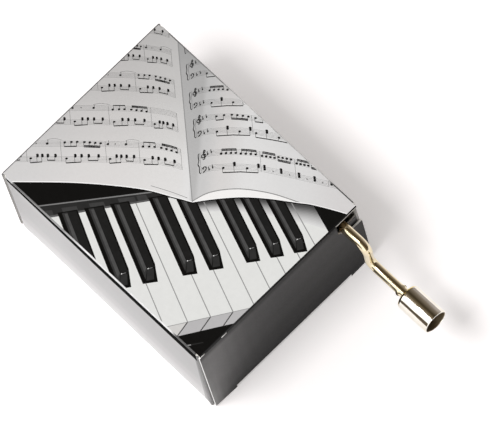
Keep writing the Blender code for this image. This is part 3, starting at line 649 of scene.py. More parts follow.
strip("sheet_glint", [(u, v + 0.10) for u, v in right_edge], 0.20, book_place)
strip("spine_line", [(0.0, 0.1), (spine(PAGE_TOP), PAGE_TOP)], 0.22, book_place)
print("pages drawn,", len(areas), "areas")

# %% [markdown]
# Music on the pages
#
# Each page carries rows of piano music: two staves of five lines joined by bar
# lines, with note heads, stems and beams. Near the spine the rows dip with the
# curl of the paper. The notes here are an exercise made up for this part, written
# as short patterns that repeat from bar to bar at the printed rows' size.

# %% Rows of staves
STAFF = 1.28
LINE = 0.045
BAR_LINE = 0.07
LEFT_DIP, LEFT_DIP_RUN = 2.6, 4.5
RIGHT_DIP, RIGHT_DIP_RUN = 3.2, 2.6
FALL, FALL_FROM, FALL_RUN = 0.5, 14.5, 2.0


def left_row(bottom):
    """Places by the distance w from the spine and the height t above the row's foot."""
    def place(w, t):
        v = bottom + t - LEFT_DIP * math.exp(-max(w, 0.0) / LEFT_DIP_RUN)
        return book_place(spine(v) - w, v)

    return place


def right_row(bottom):
    """The same on the right page, which also falls away towards its outer edge."""
    def place(w, t):
        v = bottom + t - RIGHT_DIP * math.exp(-max(w, 0.0) / RIGHT_DIP_RUN)
        v -= FALL * math.log(1.0 + math.exp((w - FALL_FROM) / FALL_RUN))
        return book_place(spine(v) + w, v)

    return place


def stretches(start, end, step=1.3):
    count = max(2, round(abs(end - start) / step))
    return [start + (end - start) * index / count for index in range(count + 1)]


def staves(place, start, end, height, scale):
    """Two staves of five lines each, the upper one at the top of the row."""
    for foot in (0.0, height - STAFF * scale):
        for line in range(5):
            t = foot + STAFF * scale * line / 4
            run = [(w, t) for w in stretches(start, end)]
            strip("staff_line", run, LINE, place)


def bar_line(place, w, height):
    strip("staff_line", [(w, 0.0), (w, height)], BAR_LINE, place)


print("staff lines", LINE, "mm thick")

# %% [markdown]
# Notes
#
# A note is a tilted oval head with a thin stem, and quick notes share a thick
# beam. Each could be placed by hand. A small function draws one beamed group from
# the heights of its notes, so a bar is only a few numbers.

# %% Notes
HEAD_WIDTH = 0.68
HEAD_HEIGHT = 0.53
HEAD_TILT = 20.0
HEAD_STEP = 0.42
STEM = 0.09
STEM_SIDE = 0.2
STEM_REACH = 0.95
LONE_REACH = 0.9
BEAM = 0.25
BEAM_STEP = 0.3
BEAM_SLOPE = 0.5
SLUR_STEPS = 8


def head(place, w, t, scale, facing):
    dot("note_ink", (w, t), HEAD_WIDTH * scale, HEAD_HEIGHT * scale, HEAD_TILT * facing, place)


def beamed(place, notes, scale, facing, up, beams=1):
    """A group of notes on one beam; notes are (distance, height) pairs."""
    first, last = notes[0], notes[-1]
    slope = (last[1] - first[1]) / (last[0] - first[0]) * BEAM_SLOPE
    edge = max(t for _, t in notes) if up else min(t for _, t in notes)
    middle = (first[0] + last[0]) / 2
    way = scale if up else -scale
    side = STEM_SIDE * facing * way

    def beam_height(w):
        return edge + STEM_REACH * way + slope * (w - middle)

    for w, t in notes:
        head(place, w, t, scale, facing)
        strip("note_ink", [(w + side, t), (w + side, beam_height(w))], STEM, place)
    for level in range(beams):
        run = [(w + side, beam_height(w) - BEAM_STEP * way * level) for w in (first[0], middle, last[0])]
        strip("note_ink", run, BEAM * scale, place)


def lone(place, w, t, scale, facing, stack=1):
    """A note, or a stack of them, with its own stem upwards."""
    for level in range(stack):
        head(place, w, t + HEAD_STEP * scale * level, scale, facing)
    side = STEM_SIDE * facing * scale
    strip("note_ink", [(w + side, t), (w + side, t + LONE_REACH * scale)], STEM, place)


def slur(place, start, end, t, rise):
    shares = [index / SLUR_STEPS for index in range(SLUR_STEPS + 1)]
    points = [(start + (end - start) * share, t + rise * math.sin(math.pi * share)) for share in shares]
    strip("staff_line", points, BAR_LINE, place)


print("note heads", HEAD_WIDTH, "by", HEAD_HEIGHT, "mm")

# %% [markdown]
# Bars of the made-up exercise
#
# Bars of two kinds alternate in the upper staff: a calm one with two long notes
# under a slur, and a busy one with a group of three and a group of four. The lower
# staff keeps the same broken chord all through.

# %% Bars
def placed(start, end, base, scale, notes):
    """Notes as (share of the bar, height in scales) in millimetres of the row."""
    return [(start + (end - start) * share, base + height * scale) for share, height in notes]


def chord_heads(place, notes, scale, facing, extra):
    """More heads above each note; extra holds the shift, lift and size of each."""
    for w, t in notes:
        for shift, lift, size in extra:
            head(place, w + shift * facing, t + lift * scale, scale * size, facing)


def bar(place, start, end, height, scale, facing, kind):
    """One bar from start to end, in distances from the spine."""
    top = height - STAFF * scale
    if kind == "calm":
        first, point, last, over = placed(
            start, end, top, scale, ((0.08, 0.62), (0.30, 0.68), (0.62, 0.66), (1.04, 0.0))
        )
        lone(place, *first, scale, facing)
        dot("note_ink", point, 0.28 * scale, 0.34 * scale, 30.0, place)
        lone(place, *last, scale, facing)
        slur(place, last[0], over[0], height + 0.25 * scale, 0.35 * scale)
    if kind in ("busy", "busy_high"):
        up = kind == "busy_high"
        base = top + (0.3 if up else 0.95) * scale
        three = placed(start, end, base, scale, ((0.10, 0.0), (0.25, 0.1), (0.38, 0.15)))
        four = placed(start, end, base, scale, ((0.54, 0.12), (0.66, 0.03), (0.78, -0.06), (0.90, -0.15)))
        beamed(place, three, scale, facing, up)
        beamed(place, four, scale, facing, up, beams=2)
    low = 0.80 * scale
    one = placed(start, end, low, scale, ((0.11, 0.0), (0.31, 0.5), (0.45, 0.5)))
    two = placed(start, end, low, scale, ((0.61, 0.5), (0.83, 0.5)))
    chord_heads(place, (*one[1:], *two), scale, facing, ((0.0, 0.40, 0.95), (0.03, 0.20, 0.95)))
    beamed(place, one, scale, facing, False)
    beamed(place, two, scale, facing, False)


# A row has its foot, height, inner end, bar lines and kinds of bar, outside first.
LEFT_HEIGHT, LEFT_END = 5.0, 52.0
OUTER_BAR = 8.5
LONE_BAR = 10.0
LEFT_ROWS = (
    (9.6, 5.0, 1.6, (-37.5, -29.6, -19.4, -11.8), ("calm", "calm", "busy", "calm", "busy_high")),
    (18.6, 4.6, 1.78, (-27.6, -18.7, -9.1), ("calm", "calm", "busy_high", "rest")),
    (26.9, 4.3, 1.7, (-21.4, -12.7), ("calm", "calm", "busy")),
    (34.4, 3.9, 1.78, (-10.7,), ("busy", "calm")),
    (41.4, 3.6, 1.9, (), ("busy",)),
)
for bottom, height, inner, bars, kinds in LEFT_ROWS:
    place = left_row(bottom)
    scale = height / LEFT_HEIGHT
    lines = [spine(bottom) - u for u in bars]
    edges = [lines[0] + OUTER_BAR * scale if lines else LONE_BAR, *lines, inner]
    staves(place, inner, LEFT_END, height, scale)
    for w in edges[1:]:
        bar_line(place, w, height)
    for outer, nearer, kind in zip(edges, edges[1:], kinds):
        bar(place, outer, nearer, height, scale, -1, kind)
print("left page,", len(areas), "areas")

# %% [markdown]
# Signs at the start of each row
#
# On the right page every row starts beside the spine with a brace, a clef and two
# flats. These are common signs, drawn as short thick strokes. A full engraving
# would be finer than the print can show at this size.

# %% Clefs, flats and braces
BRACE_INK, TREBLE_INK, BASS_INK, FLAT_INK = 0.22, 0.25, 0.26, 0.17
TREBLE = (
    ((-0.15, -0.30), (0.10, -0.48), (0.34, -0.22), (0.26, 0.60), (0.14, 1.25), (0.34, 1.72), (0.54, 1.40))
    + ((0.05, 0.85), (-0.42, 0.45), (-0.22, 0.02), (0.36, -0.02), (0.66, 0.36), (0.36, 0.72), (0.04, 0.44))
)
BASS = ((-0.32, 0.84), (-0.18, 1.14), (0.22, 1.26), (0.56, 0.95), (0.38, 0.45), (-0.28, 0.00))
FLAT = ((0.0, 0.95), (0.0, 0.0), (0.20, 0.22), (0.18, 0.42), (0.0, 0.34))
BRACE = ((0.30, 1.0), (0.05, 0.92), (0.10, 0.66), (-0.16, 0.5), (0.10, 0.34), (0.05, 0.08), (0.30, 0.0))


def stroke(place, w, t, scale, points, width):
    run = [(w + x * scale, t + y * scale) for x, y in points]
    strip("note_ink", run, width * scale, place)


def row_start(place, w, height, scale):
    """The brace, the clefs and the flats that open a row at the distance w."""
    top = height - STAFF * scale
    brace = smooth_line([(x, y * height / scale) for x, y in BRACE], 3)
    stroke(place, w - 0.45, 0.0, scale, brace, BRACE_INK)
    bar_line(place, w, height)
    stroke(place, w + 0.75, top, scale, smooth_line(TREBLE, 3), TREBLE_INK)
    stroke(place, w + 0.65, 0.0, scale, smooth_line(BASS, 3), BASS_INK)
    dot("note_ink", (w + 0.55, 0.86 * scale), 0.30 * scale, 0.28 * scale, 0.0, place)
    for base in (top, -0.15 * scale):
        for shift, lift in ((1.75, 0.30), (2.60, 0.62)):
            stroke(place, w + shift, base + lift * scale, scale, FLAT, FLAT_INK)


print("signs of", len(TREBLE) + len(BASS) + len(FLAT) + len(BRACE), "points")

# %% [markdown]
# Bars of the right page
#
# The right page runs on in quicker notes: groups of four on a double beam above,
# and four widely spaced notes on one beam below.

# %% Right page
def quick_bar(place, start, end, height, scale, kind):
    top = height - STAFF * scale
    low = 0.36 * scale
    if kind == "pairs":
        two = placed(start, end, top, scale, ((0.10, 0.75), (0.30, 0.98)))
        four = placed(start, end, top, scale, [(0.50 + 0.14 * step, 1.08 - 0.07 * step) for step in range(4)])
        beamed(place, two, scale, 1, False)
        beamed(place, four, scale, 1, False, beams=2)
    else:
        for begin, up in ((0.06, True), (0.54, kind == "high")):
            rise = 0.30 if up else 0.85
            notes = [(begin + 0.12 * step, rise + 0.04 * step) for step in range(4)]
            beamed(place, placed(start, end, top, scale, notes), scale, 1, up, beams=2)
    if kind == "chords":
        for chord in placed(start, end, low, scale, ((0.10, 0.30), (0.58, 0.30))):
            lone(place, *chord, scale, 1, 3)
        for rest in placed(start, end, low, scale, ((0.34, 0.25), (0.82, 0.25))):
            dot("note_ink", rest, 0.26 * scale, 0.36 * scale, 30.0, place)
        return
    notes = placed(start, end, low, scale, ((0.08, 0.0), (0.36, 0.62), (0.66, 0.0), (0.94, 0.62)))
    chord_heads(place, notes[1::2], scale, 1, ((0.0, 0.55, 1.1), (0.0, 0.25, 1.0)))
    beamed(place, notes, scale, 1, False)


RIGHT_HEIGHT, RIGHT_END = 4.8, 46.0
SIGNS_LENGTH = 4.3
RIGHT_ROWS = (
    (8.1, 4.8, 2.66, (16.3, 24.0, 31.2, 38.0), ("high", "chords", "chords", "chords")),
    (16.9, 4.5, 2.3, (15.2, 24.0), ("pairs", "pairs")),
    (23.9, 4.2, 1.96, (14.2,), ("high",)),
    (31.1, 3.9, 1.84, (13.0,), ("high",)),
    (37.6, 3.6, 1.8, (), ()),
)
for bottom, height, inner, bars, kinds in RIGHT_ROWS:
    place = right_row(bottom)
    scale = height / RIGHT_HEIGHT
    staves(place, inner, RIGHT_END, height, scale)
    row_start(place, inner, height, scale)
    begins = [inner + SIGNS_LENGTH * scale, *bars]
    for w in bars:
        bar_line(place, w, height)
    for start, end, kind in zip(begins, bars, kinds):
        quick_bar(place, start, end, height, scale, kind)
print("right page,", len(areas), "areas")

# %% [markdown]
# Lid print
#
# All areas are now cut into one flat mesh on the lid's upper face, just above the
# board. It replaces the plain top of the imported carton.

# %% Cut the areas into one mesh
def cut_print(all_areas):
    corners, faces = [], []
    for _, points in all_areas:
        first = len(corners)
        corners.extend(Vector(point) for point in points)
        faces.append(list(range(first, len(corners))))
    made = delaunay_2d_cdt(corners, [], faces, 0, 1e-4, True)
    places, _, triangles, _, _, origins = made
    kept, inks = [], []
    for triangle, origin in zip(triangles, origins):
        if 0 in origin:
            kept.append(triangle)
            inks.append(all_areas[max(origin)][0])
    return places, kept, inks


def dressed(made, finishes):
    """Give a piece its finishes, in the order that its faces number them."""
    for finish in finishes:
        made.data.materials.append(finish)
    return made


places, triangles, inks = cut_print(areas)
used = sorted(set(inks))
lid_mesh = bpy.data.meshes.new("lid_print")
lid_mesh.from_pydata([(x * MM, y * MM, LID_Z * MM) for x, y in places], [], triangles)
lid = dressed(added("lid_print", lid_mesh), [INKS[name] for name in used])
lid_mesh.polygons.foreach_set("material_index", [used.index(name) for name in inks])
shape = bmesh.new()
shape.from_mesh(lid_mesh)
bmesh.ops.delete(shape, geom=[vert for vert in shape.verts if not vert.link_faces], context="VERTS")
bmesh.ops.reverse_faces(shape, faces=[face for face in shape.faces if face.normal.z < 0])
shape.to_mesh(lid_mesh)
shape.free()
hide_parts("carton_sleeve")
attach(lid, "carton")
print("lid print has", len(lid_mesh.polygons), "triangles in", len(used), "inks")

# %% [markdown]
# Board finishes
#
# The carton is white board, printed outside. Its long walls fade from light grey down to white, its ends are
# a deep grey varnish with a painted sheen, and cut edges show the raw white board. The fades and the sheen
# could be left to the light, but here they are ramps over the wall's or panel's height and width. The folds
# have finishes of their own, with a painted highlight along the long folds.

# %% Board finishes
WALL_STOPS = tones((0.000, 240), (0.0008, 233), (0.005, 224, 223, 223), (0.009, 208, 207, 207))
WALL_STOPS += tones((0.015, 196), (0.022, 193), (0.033, 197))
WALL_LENGTH_STOPS = [(-0.032, 1.0), (-0.010, 0.97), (0.032, 0.90)]
# Painted shade: a wedge that darkens each wall where it turns in at the crank end.
CORNER_SHADE_AXIS = (1.0, 0.0, -0.038)
CORNER_SHADE_START = -0.02865
CORNER_SHADE_STOPS = [(0.0, 1.0), (0.00025, 0.58), (0.0012, 0.50), (0.0024, 0.42)]
# Painted highlight along each long fold, over the tones of the print under it.
FOLD_PRINT_AND_HIGHLIGHT_STOPS = tones((-0.032, 235), (-0.0288, 235), (-0.0282, 118), (-0.012, 165), (-0.006, 240))
FOLD_PRINT_AND_HIGHLIGHT_STOPS += tones((0.0225, 238), (0.0245, 96), (0.032, 90))
SKIN_STOPS = tones((0.03115, 205, 203, 199), (0.03120, 40, 39, 40))


def wall_finish():
    """The long walls: fades over height and length, darker at the crank end, with a painted shade wedge at
    each turn.
    """
    made = new_finish("wall_print_and_shade", 0.42)
    surface(made, {"Specular IOR Level": 0.1})
    height = fade(made, along(made, Z_AXIS), WALL_STOPS)
    length = fade(made, along(made, X_AXIS), WALL_LENGTH_STOPS)
    corner = fade(made, along(made, CORNER_SHADE_AXIS, CORNER_SHADE_START), CORNER_SHADE_STOPS)
    grained(made, multiplied(made, height, length, corner), 1200.0, 0.975)
    bumped(made, 2500.0, 0.004)
    return made


def end_finish(name, color, specular=0.1):
    """Deep grey varnish with faint scuffs."""
    made = new_finish(name, 0.33)
    mottled(made, color, 900.0, 0.08, 5.0)
    rough_by_noise(made, 0.30, 0.38, 1400.0)
    bumped(made, 2600.0, 0.0015)
    surface(made, {"Specular IOR Level": specular})
    return made


def raw_finish(name, color):
    """Uncoated board: tiny fibres in the colour and in the surface."""
    made = new_finish(name, 0.85)
    mottled(made, color, 3000.0, 0.05, 4.0)
    bumped(made, 5000.0, 0.02, 0.6)
    return made


def lit_fold_finish():
    """The long folds: the print's tones along them, with a painted highlight."""
    made = printed_ink("fold_print_and_highlight", tone(200))
    grained(made, fade(made, along(made, X_AXIS), FOLD_PRINT_AND_HIGHLIGHT_STOPS), 500.0, 0.75)
    return made


def flap_finish():
    """A dust flap: white board, dark on its outer face."""
    made = new_finish("flap_board", 0.5)
    out = calculated(made, "ABSOLUTE", along(made, X_AXIS))
    grained(made, fade(made, out, SKIN_STOPS), 900.0, 0.92)
    bumped(made, 2500.0, 0.006)
    return made


WALL_PRINT_AND_SHADE = wall_finish()
FOLD_DARK = end_finish("fold_dark", tone(46), 0.05)
FOLD_BLACK = end_finish("fold_black", tone(32), 0.0)
FOLD_PRINT_AND_HIGHLIGHT = lit_fold_finish()
FOLD_PAPER = printed_ink("fold_paper", tone(172, 171, 170))
# Painted shade: the back panel's cut edge is grey rather than raw white.
SHADED_CUT_EDGE = raw_finish("shaded_cut_edge", tone(118, 117, 116))
FLAP_BOARD = flap_finish()
RAW_BOARD = raw_finish("raw_board", tone(226, 224, 219))
CUT_EDGE = raw_finish("cut_edge", tone(250, 249, 247))
print("board finishes ready")

# %% [markdown]
# Sheen of the end panels
#
# The dark end panels are paler towards the near side and the top, and dark again
# under the fold. A glossier varnish would mirror the lamp in one hard patch. Ramps
# across and up the panel are added and multiplied instead: a wide sheen that grows
# upwards, a narrow one at the edge that fades upwards, and the fold's shade.

# %% Sheen of the end panels
WIDE_SHEEN = [(-0.0245, 0.150), (-0.0220, 0.165), (-0.0200, 0.145), (-0.0170, 0.103), (-0.0140, 0.060)]
WIDE_SHEEN += [(-0.0110, 0.032), (-0.0070, 0.014), (0.0, 0.0)]
WIDE_UP = [(0.000, 0.10), (0.006, 0.50), (0.014, 0.88), (0.021, 1.0)]
EDGE_SHEEN = [(-0.0245, 0.34), (-0.0232, 0.22), (-0.0215, 0.09), (-0.0190, 0.02), (-0.0170, 0.0)]
EDGE_UP = [(0.000, 1.0), (0.006, 0.80), (0.013, 0.45), (0.021, 0.20), (0.030, 0.0)]
UP_END = [
    (0.000, (0.012, 0.012, 0.0125)),
    (0.009, (0.029, 0.0285, 0.029)),
    (0.017, (0.049, 0.0485, 0.049)),
    (0.025, (0.068, 0.067, 0.068)),
    (0.033, (0.090, 0.089, 0.090)),
]
NEAR_FOLD = [(0.0, 1.0), (0.0296, 1.0), (0.0305, 0.80), (0.0313, 0.48), (0.0325, 0.30)]


# The print's deep grey, with painted sheen across and up the panel and painted shade under the fold.
def panel_finish():
    made = end_finish("end_print_and_sheen", tone(45), 0.02)
    across, up = along(made, Y_AXIS), along(made, Z_AXIS)
    wide = multiplied(made, fade(made, across, WIDE_SHEEN), fade(made, up, WIDE_UP))
    edge = multiplied(made, fade(made, across, EDGE_SHEEN), fade(made, up, EDGE_UP))
    sheen = mixed(made, "ADD", wide, edge)
    shade = mixed(made, "ADD", sheen, fade(made, up, UP_END))
    grained(made, multiplied(made, shade, fade(made, up, NEAR_FOLD)), 1500.0, 0.92)
    return made


END_PRINT_AND_SHEEN = panel_finish()
print("sheen from", len(WIDE_SHEEN) + len(EDGE_SHEEN), "stops across")

# %% [markdown]
# Boards as real thickness
#
# A folded board has a thickness, soft outer corners and tight inner ones. Thin
# sheets would look like foil at every cut edge. One helper sweeps a cross-section
# path, with its thickness inward, along a straight axis, and gives the outside,
# inside and cut edges their own finishes.

# %% Board helper
BOARD = 0.45
FOLD = 0.35
HALF_LENGTH = 32.0
HALF_WIDTH = 24.75
HEIGHT = 33.0
MOUTH = 31.25


def arc(center, radius, start, end, count=8):
    points = []
    for index in range(count + 1):
        angle = math.radians(start + (end - start) * index / count)
        points.append((center[0] + radius * math.cos(angle), center[1] + radius * math.sin(angle)))
    return points


def shaped(name, verts, faces, inks, finishes, smooth=0, sharp_angle=None):
    """A piece from corners in millimetres, faces and the finish number of each face.

    Four-sided faces of the first finishes, as many as smooth says, are shaded
    smoothly, apart from edges that bend more than the sharp angle.
    """
    mesh = bpy.data.meshes.new(name)
    mesh.from_pydata([Vector(place) * MM for place in verts], [], faces)
    shape = bmesh.new()
    shape.from_mesh(mesh)
    bmesh.ops.recalc_face_normals(shape, faces=shape.faces)
    for face, ink in zip(shape.faces, inks):
        face.material_index = ink
        face.smooth = ink < smooth and len(face.verts) == 4
    if sharp_angle:
        for edge in shape.edges:
            edge.smooth = edge.calc_face_angle(0.0) <= math.radians(sharp_angle)
    shape.to_mesh(mesh)
    shape.free()
    return dressed(added(name, mesh), finishes)


def swept_board(name, outside, inside, levels, to_place, outer_inks, finishes, closed=False):
    """A board from two matching paths, swept through the levels in turn.

    to_place turns (first, second, along) into a place in millimetres. finishes are
    the outer ones in outer_inks' numbering, then the inside and the cut edge.
    """
    count = len(outside)
    verts = [to_place(a, b, level) for level in levels for path in (outside, inside) for a, b in path]
    inner_ink, edge_ink = len(finishes) - 2, len(finishes) - 1
    faces, inks = [], []

    def add(corners, ink):
        faces.append(corners)
        inks.append(ink)

    for gap in range(len(levels) - 1):
        a0, a1, b0, b1 = ((2 * gap + ring) * count for ring in range(4))
        for index in range(count if closed else count - 1):
            after = (index + 1) % count
            add((a0 + index, a0 + after, b0 + after, b0 + index), outer_inks[index])
            add((a1 + index, b1 + index, b1 + after, a1 + after), inner_ink)
            if gap == 0:
                add((a0 + index, a1 + index, a1 + after, a0 + after), edge_ink)
            if gap == len(levels) - 2:
                add((b0 + index, b0 + after, b1 + after, b1 + index), edge_ink)
        if not closed:
            for index in (0, count - 1):
                add((a0 + index, b0 + index, b1 + index, a1 + index), edge_ink)
    return shaped(name, verts, faces, inks, finishes, inner_ink)


def along_y(x, z, y):
    return (x, y, z)


print("board", BOARD, "mm thick")

# %% [markdown]
# Lean of the walls
#
# Long walls of thin board don't stand quite upright: below the lid they bow out a
# little, most at the crank end, and flare at its mouth. A plain box would hide
# that. The lean is a function of the place, so the walls and their turned ends
# bend by the same rule and stay joined.

# %% Lean
FLAP_START = 24.0
LEAN_HOLD = 0.5
LEAN = 0.30
LEAN_FROM = -12.0
LEAN_TO = 20.0
FLARE = 0.38
FLARE_LENGTH = 2.8


def share_of(value, low, high):
    return min(1.0, max(0.0, (value - low) / (high - low)))


def leaned(x, y, z):
    drop = (HEIGHT - z) / HEIGHT
    if drop <= 0.0:
        return (x, y, z)
    out = LEAN * share_of(x, LEAN_FROM, LEAN_TO)
    out += FLARE * share_of(x, MOUTH - FLARE_LENGTH * drop - 0.01, MOUTH) ** 2
    hold = share_of(abs(y), FLAP_START, FLAP_START + LEAN_HOLD)
    return (x, y + math.copysign(out * drop * hold, y), z)


print("walls lean", LEAN, "mm and flare", FLARE, "mm more")

# %% [markdown]
# Sleeve
#
# The top, side walls and bottom are one board, scored and folded into a tube. Its print ends on the side
# walls: under each long fold runs a narrow black band, and the fold itself carries a painted highlight over
# the print. A box with a bevel would lose the inner corners, so the tube is one closed path of rounded folds,
# swept along the carton.

# %% Sleeve
BAND = 4.4
BAND_TAPER = 2.0
TAPER_END = -2.0
# Depth of the painted highlight on the long folds.
LIT_FOLD_DROP = 0.45
WALL_END = 30.65
TOP_UNDER = 0.02
INNER_FOLD = 0.08
WALL_LEVELS = [-WALL_END, LEAN_FROM, -7.0, TAPER_END, 4.0, 12.0, LEAN_TO]
WALL_LEVELS += [27.6, 28.4, 29.2, 30.0, WALL_END]
PRINT, LIT_FOLD, BLACK = 0, 1, 2


def tube_path(inset, fold):
    """The tube's section from the middle of the top, clockwise."""
    y = HALF_WIDTH - inset
    low = inset
    high = HEIGHT - inset - (TOP_UNDER if inset == 0 else 0.0)
    points = [(0.0, high)]
    points += arc((y - fold, high - fold), fold, 90.0, 0.0)
    points += [(y, HEIGHT - LIT_FOLD_DROP), (y, HEIGHT - BAND)]
    points += arc((y - fold, low + fold), fold, 0.0, -90.0)
    points += arc((fold - y, low + fold), fold, 270.0, 180.0)
    points += [(-y, HEIGHT - BAND), (-y, HEIGHT - LIT_FOLD_DROP)]
    points += arc((fold - y, high - fold), fold, 180.0, 90.0)
    return points


def tube_ink(a, b):
    """The wall's finish, or the fold's painted highlight and the black band under it."""
    depth = HEIGHT - (a[1] + b[1]) / 2
    if depth > BAND or abs(b[0] - a[0]) > 1.0:
        return PRINT
    return LIT_FOLD if depth < LIT_FOLD_DROP else BLACK


def along_wall(y, z, x):
    if abs(z - (HEIGHT - BAND)) < 0.01:
        z += BAND_TAPER * share_of(TAPER_END - x, 0.0, TAPER_END + WALL_END)
    return leaned(x, y, z)


outer_path = tube_path(0.0, FOLD)
sleeve = swept_board(
    "carton_tube",
    outer_path,
    tube_path(BOARD, INNER_FOLD),
    WALL_LEVELS,
    along_wall,
    [tube_ink(a, b) for a, b in zip(outer_path, outer_path[1:] + outer_path[:1])],
    [WALL_PRINT_AND_SHADE, FOLD_PRINT_AND_HIGHLIGHT, FOLD_BLACK, RAW_BOARD, RAW_BOARD],
    closed=True,
)
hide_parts("carton_sleeve")
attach(sleeve, "carton")
print("sleeve path has", len(outer_path), "points")

# %% [markdown]
# Wall ends
#
# At each corner the side wall turns inward into a dust flap, with a soft fold that shows as a grey strip
# beside the end panel. At the crank end painted shade deepens that strip's grey, and at three corners painted
# shade darkens the turn's end beside the gap. It could be cut off square, but the photograph shows the turn.
# Each corner is a short swept board, and the top and bottom run on a little further to meet the end panels.

# %% Wall ends and lips
TURN = 0.6
TURN_LEVELS = [FOLD + (HEIGHT - 2 * FOLD) * step / 6 for step in range(7)]
# The finish of each stretch round a corner, from the wall to the dust flap. The black stretches are painted
# shade at the turn's end, beside the gap.
TURN_INKS = {
    "crank_left": [0] * 9 + [1],
    "crank_right": [2] * 10,
    "back_left": [0] * 7 + [1] * 3,
    "back_right": [0] * 7 + [1] * 3,
}


def mirrored(points, side_x, side_y):
    return [(side_x * a, side_y * b) for a, b in points]


def turn_path(inset):
    """From the wall round the corner into the dust flap, by an inset."""
    corner = arc((MOUTH - TURN, HALF_WIDTH - TURN), TURN - inset, 90.0, 0.0)
    return [(WALL_END, HALF_WIDTH - inset), *corner, (MOUTH - inset, FLAP_START)]


for end, end_name in ((1, "crank"), (-1, "back")):
    for side, side_name in ((-1, "left"), (1, "right")):
        corner = swept_board(
            f"{end_name}_{side_name}_wall_turn",
            mirrored(turn_path(0.0), end, side),
            mirrored(turn_path(BOARD), end, side),
            TURN_LEVELS,
            leaned,
            TURN_INKS[f"{end_name}_{side_name}"],
            [WALL_PRINT_AND_SHADE, FOLD_BLACK, FOLD_PAPER, RAW_BOARD, RAW_BOARD],
        )
        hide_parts("carton_sleeve")
        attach(corner, "carton")
    foot = swept_board(
        f"{end_name}_bottom_lip",
        [(end * WALL_END, 0.0), (end * MOUTH, 0.0)],
        [(end * WALL_END, BOARD), (end * MOUTH, BOARD)],
        [-FLAP_START, FLAP_START],
        along_y,
        [0],
        [WALL_PRINT_AND_SHADE, RAW_BOARD, RAW_BOARD],
    )
    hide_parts("carton_sleeve")
    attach(foot, "carton")
print("four wall turns and two bottom lips")

# %% [markdown]
# End folds
#
# The lid bends over each end into the closing panel, and that crease bends when the panel opens. Here it is
# its own strip of curved board between the carton and the panel, fixed in place. On the crank side it stops
# at the cut-out, where the lid ends in a bare cut edge.

# %% End folds
LID_END = 31.45
END_FOLD = HALF_LENGTH - LID_END
FOLD_CENTER = (LID_END, HEIGHT - END_FOLD)
FOLD_END = HALF_WIDTH - FOLD
SLOT_Y = 17.9
LID_LIP_END = 31.95
UNDER_LID = HEIGHT - TOP_UNDER
SCUFF_ARC = (36.0, 14.0, 4)
SCUFFS = (("crank_end_fold_scuff", -17.9, -16.3), ("crank_end_fold_tip", -24.3, -23.1))


def lid_strip(name, end, low, high, outer, inner, inks, body, other=None):
    made = swept_board(
        name,
        mirrored(outer, end, 1),
        mirrored(inner, end, 1),
        [low, high],
        along_y,
        inks,
        [FOLD_BLACK, FOLD_DARK, FOLD_PAPER, CUT_EDGE, RAW_BOARD, RAW_BOARD],
    )
    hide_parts("carton_sleeve")
    if other is None:
        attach(made, body)
    else:
        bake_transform(made)


def fold_path(level, radius):
    """From the lid at a level round the fold's centre, down to the panel."""
    return [(WALL_END, level), (LID_END - 0.01, level)] + arc(FOLD_CENTER, radius, 90.0, 0.0)


fold = (fold_path(UNDER_LID, END_FOLD), fold_path(HEIGHT - BOARD, END_FOLD - BOARD))
# The lid's side of a fold is black at the crank and rubbed to paper at the back.
crank_inks, back_inks = [0] * 4 + [1] * 6, [2] * 4 + [1] * 6
lid_strip("crank_end_fold", 1, -FOLD_END, SLOT_Y, *fold, crank_inks, "carton", "crank_end_flap")
lid_strip("back_end_fold", -1, -FOLD_END, FOLD_END, *fold, back_inks, "carton", "back_end_flap")
lip_outer = [(WALL_END, UNDER_LID), (LID_END - 0.01, UNDER_LID)]
lip_outer += [(LID_END, HEIGHT), (LID_LIP_END, HEIGHT - 0.03)]
lip_inner = [(x, HEIGHT - BOARD) for x, _ in lip_outer]
lid_strip("crank_end_lip", 1, SLOT_Y, FOLD_END, lip_outer, lip_inner, [0, 0, 0], "carton")
for name, low, high in SCUFFS:
    scuff = (arc(FOLD_CENTER, END_FOLD + rise, *SCUFF_ARC) for rise in (0.01, -0.05))
    lid_strip(name, 1, low, high, *scuff, [3] * 4, "carton", "crank_end_flap")
print("end folds of radius", round(END_FOLD, 2), "mm")

# %% [markdown]
# Closing panels and tuck tongues
#
# A closing panel is a flat board with a printed face and cut edges. The crank end has a corner cut-out for
# the rod. Between two square shoulders its lower edge bends into the tongue that tucks inside. A plain box
# can't have the cut-out, so panels and tongues are outlines given the board's thickness, and the crease
# between them is a swept board, fixed in place.

# %% Flat boards
PANEL_TOP = HEIGHT - END_FOLD
PANEL_LOW = 0.1
CORNER_LOW = 0.7
SHOULDER = 6.6
TONGUE = HALF_WIDTH - SHOULDER
TONGUE_REACH = TONGUE - 0.3
TONGUE_ROUND = 3.0
TONGUE_LOW = 0.75
TUCK_FOLD = 0.55
TUCK_TOP = TONGUE_LOW + TUCK_FOLD
CREASE_RUN = 0.65
TONGUE_ROOT = HALF_LENGTH - TUCK_FOLD - CREASE_RUN
SLOT_BOTTOM = 23.8
SLOT_SLANT = 2.6
SLOT_SLANT_RISE = 4.4
CRANK_SIDE = [(HALF_WIDTH, SLOT_BOTTOM), (SLOT_Y + SLOT_SLANT, SLOT_BOTTOM)]
CRANK_SIDE += [(SLOT_Y, SLOT_BOTTOM + SLOT_SLANT_RISE), (SLOT_Y, PANEL_TOP)]
BACK_SIDE = [(HALF_WIDTH, PANEL_TOP)]
LOWER_EDGE = [
    (-HALF_WIDTH, CORNER_LOW),
    (-TONGUE, PANEL_LOW),
    (-TONGUE, TUCK_TOP),
    (TONGUE, TUCK_TOP),
    (TONGUE, PANEL_LOW),
    (HALF_WIDTH, CORNER_LOW),
]


